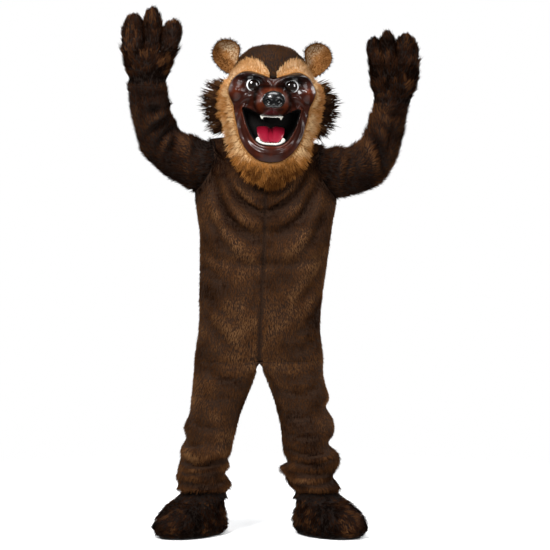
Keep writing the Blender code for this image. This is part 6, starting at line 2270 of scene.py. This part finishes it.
# %% Floor
FLOOR_LIFT = 1.3
FLOOR_RADII = (0.05, 7.0)
FLOOR_RINGS = 24
FLOOR_COLUMNS = 96
FLOOR_DROP = 0.0005


def mixed_shader(owner, share, first, second):
    """One shader where the share is 0, the other where it is 1."""
    return add(owner, "MixShader", {"Fac": share, 1: first, 2: second}).outputs["Shader"]


def to_surface(owner, output, shader):
    """Links a shader to the output of a material or of the world."""
    owner.node_tree.links.new(shader, owner.node_tree.nodes[output].inputs["Surface"])


def make_floor():
    """A flat disc: rings of points at a few radii, joined into faces, with a single point in the middle."""
    turn = full_turn(FLOOR_COLUMNS)
    radii = np.linspace(*FLOOR_RADII, FLOOR_RINGS)[:, None]
    z = level(0.0) - FLOOR_DROP
    rings = points_of(radii * np.cos(turn), radii * np.sin(turn), z)
    points = np.concatenate([rings.reshape(-1, 3), [[0.0, 0.0, z]]])
    j = np.arange(FLOOR_COLUMNS)
    middle = np.stack([(j + 1) % FLOOR_COLUMNS, j, np.full_like(j, len(points) - 1)], axis=1)
    faces = [grid_faces(FLOOR_RINGS, FLOOR_COLUMNS, True), middle]
    material, shader = new_finish("painted studio floor, matt white", Roughness=0.75, Specular_IOR_Level=0.2)
    place = add(material, "TexCoord")
    radius = add(material, "VectorMath", {0: place.outputs["Object"]}, operation="LENGTH")
    fade = add(
        material, "MapRange", {"Value": radius.outputs["Value"], "From Min": 1.5, "From Max": 3.2},
        interpolation_type="SMOOTHSTEP",
    )
    grain = add(material, "TexNoise", {"Vector": place.outputs["Object"], "Scale": 3.0})
    painted(material, shader, colour_on(material, grain.outputs["Fac"], ((0.3, "#F4F4F3"), (0.7, "#F8F8F7"))))
    clear = add(material, "BsdfTransparent")
    bright = add(material, "BsdfDiffuse", {"Color": (FLOOR_LIFT, FLOOR_LIFT, FLOOR_LIFT, 1.0)})
    path = add(material, "LightPath")
    seen = path.outputs["Is Camera Ray"]
    shown = mixed_shader(material, seen, shader.outputs["BSDF"], bright.outputs["BSDF"])
    fading = mixed_shader(material, fade.outputs["Result"], shown, clear.outputs["BSDF"])
    to_surface(material, "Material Output", fading)
    new_mesh("studio_floor", points, faces, material)


make_floor()

# %% Background and lamps
SKY = (0.96, 0.98, 1.0, 1.0)
world = bpy.data.worlds.new("studio")
bpy.context.scene.world = world
world.use_nodes = True
seen = world.node_tree.nodes["Background"]
seen.inputs["Color"].default_value = (1.0, 1.0, 1.0, 1.0)
seen.inputs["Strength"].default_value = 1.0
lit = add(world, "Background", {"Color": SKY, "Strength": 0.42})
mirrored = add(world, "Background", {"Color": SKY, "Strength": 0.12})
path = add(world, "LightPath")
soft = mixed_shader(
    world, path.outputs["Is Glossy Ray"], lit.outputs["Background"], mirrored.outputs["Background"]
)
both = mixed_shader(world, path.outputs["Is Camera Ray"], soft, seen.outputs["Background"])
to_surface(world, "World Output", both)
bpy.context.scene.view_settings.view_transform = "Standard"


def soft_lamp(name, place, aim, size, power):
    """A rectangular area lamp that points at aim: its -Z axis runs from its place to the aim."""
    data = bpy.data.lights.new(name, "AREA")
    data.shape = "RECTANGLE"
    data.size, data.size_y = size
    data.energy = power
    lamp = bpy.data.objects.new(name, data)
    way = np.array(aim) - np.array(place)
    flat = math.hypot(way[0], way[1])
    lamp.location = place
    lamp.rotation_euler = (math.atan2(flat, -way[2]), 0.0, math.atan2(-way[0], way[1]))
    bpy.context.scene.collection.objects.link(lamp)


soft_lamp("key", (-1.5, -3.0, 2.2), (0.0, 0.0, -0.35), (0.9, 1.4), 190.0)
soft_lamp("fill", (2.4, -3.0, 1.0), (0.0, 0.0, -0.45), (1.0, 1.8), 60.0)
soft_lamp("rim_left", (-2.4, 1.6, 1.2), (0.0, 0.0, -0.3), (0.6, 2.2), 40.0)
soft_lamp("rim_right", (2.4, 1.6, 1.2), (0.0, 0.0, -0.3), (0.6, 2.2), 40.0)
soft_lamp("top", (0.0, -0.6, 2.6), (0.0, 0.0, 0.0), (2.0, 1.2), 60.0)

# %% [markdown]
# ## The camera
#
# The costume stands square to the camera, which is level with the chest and far off, as for a catalogue. One
# picture point is PIXEL metres wide at the costume, so the distance fixes the lens.

# %% Camera
PICTURE = 550
PIXEL = 0.00396
SEEN_WIDTH = PICTURE * PIXEL
CENTRE_X = 0.0436
CENTRE_Z = -0.484
DISTANCE = 11.0
LOOK_DOWN = 3.0
data = bpy.data.cameras.new("catalogue")
data.sensor_width = 36.0
data.lens = data.sensor_width * DISTANCE / SEEN_WIDTH
data.clip_end = 60.0
camera = bpy.data.objects.new("catalogue", data)
down = math.radians(LOOK_DOWN)
camera.location = (CENTRE_X, -DISTANCE * math.cos(down), CENTRE_Z + DISTANCE * math.sin(down))
camera.rotation_euler = (math.pi / 2 - down, 0.0, 0.0)
bpy.context.scene.collection.objects.link(camera)
bpy.context.scene.camera = camera

# %% Measure and finish
print("pile in all:", piled)
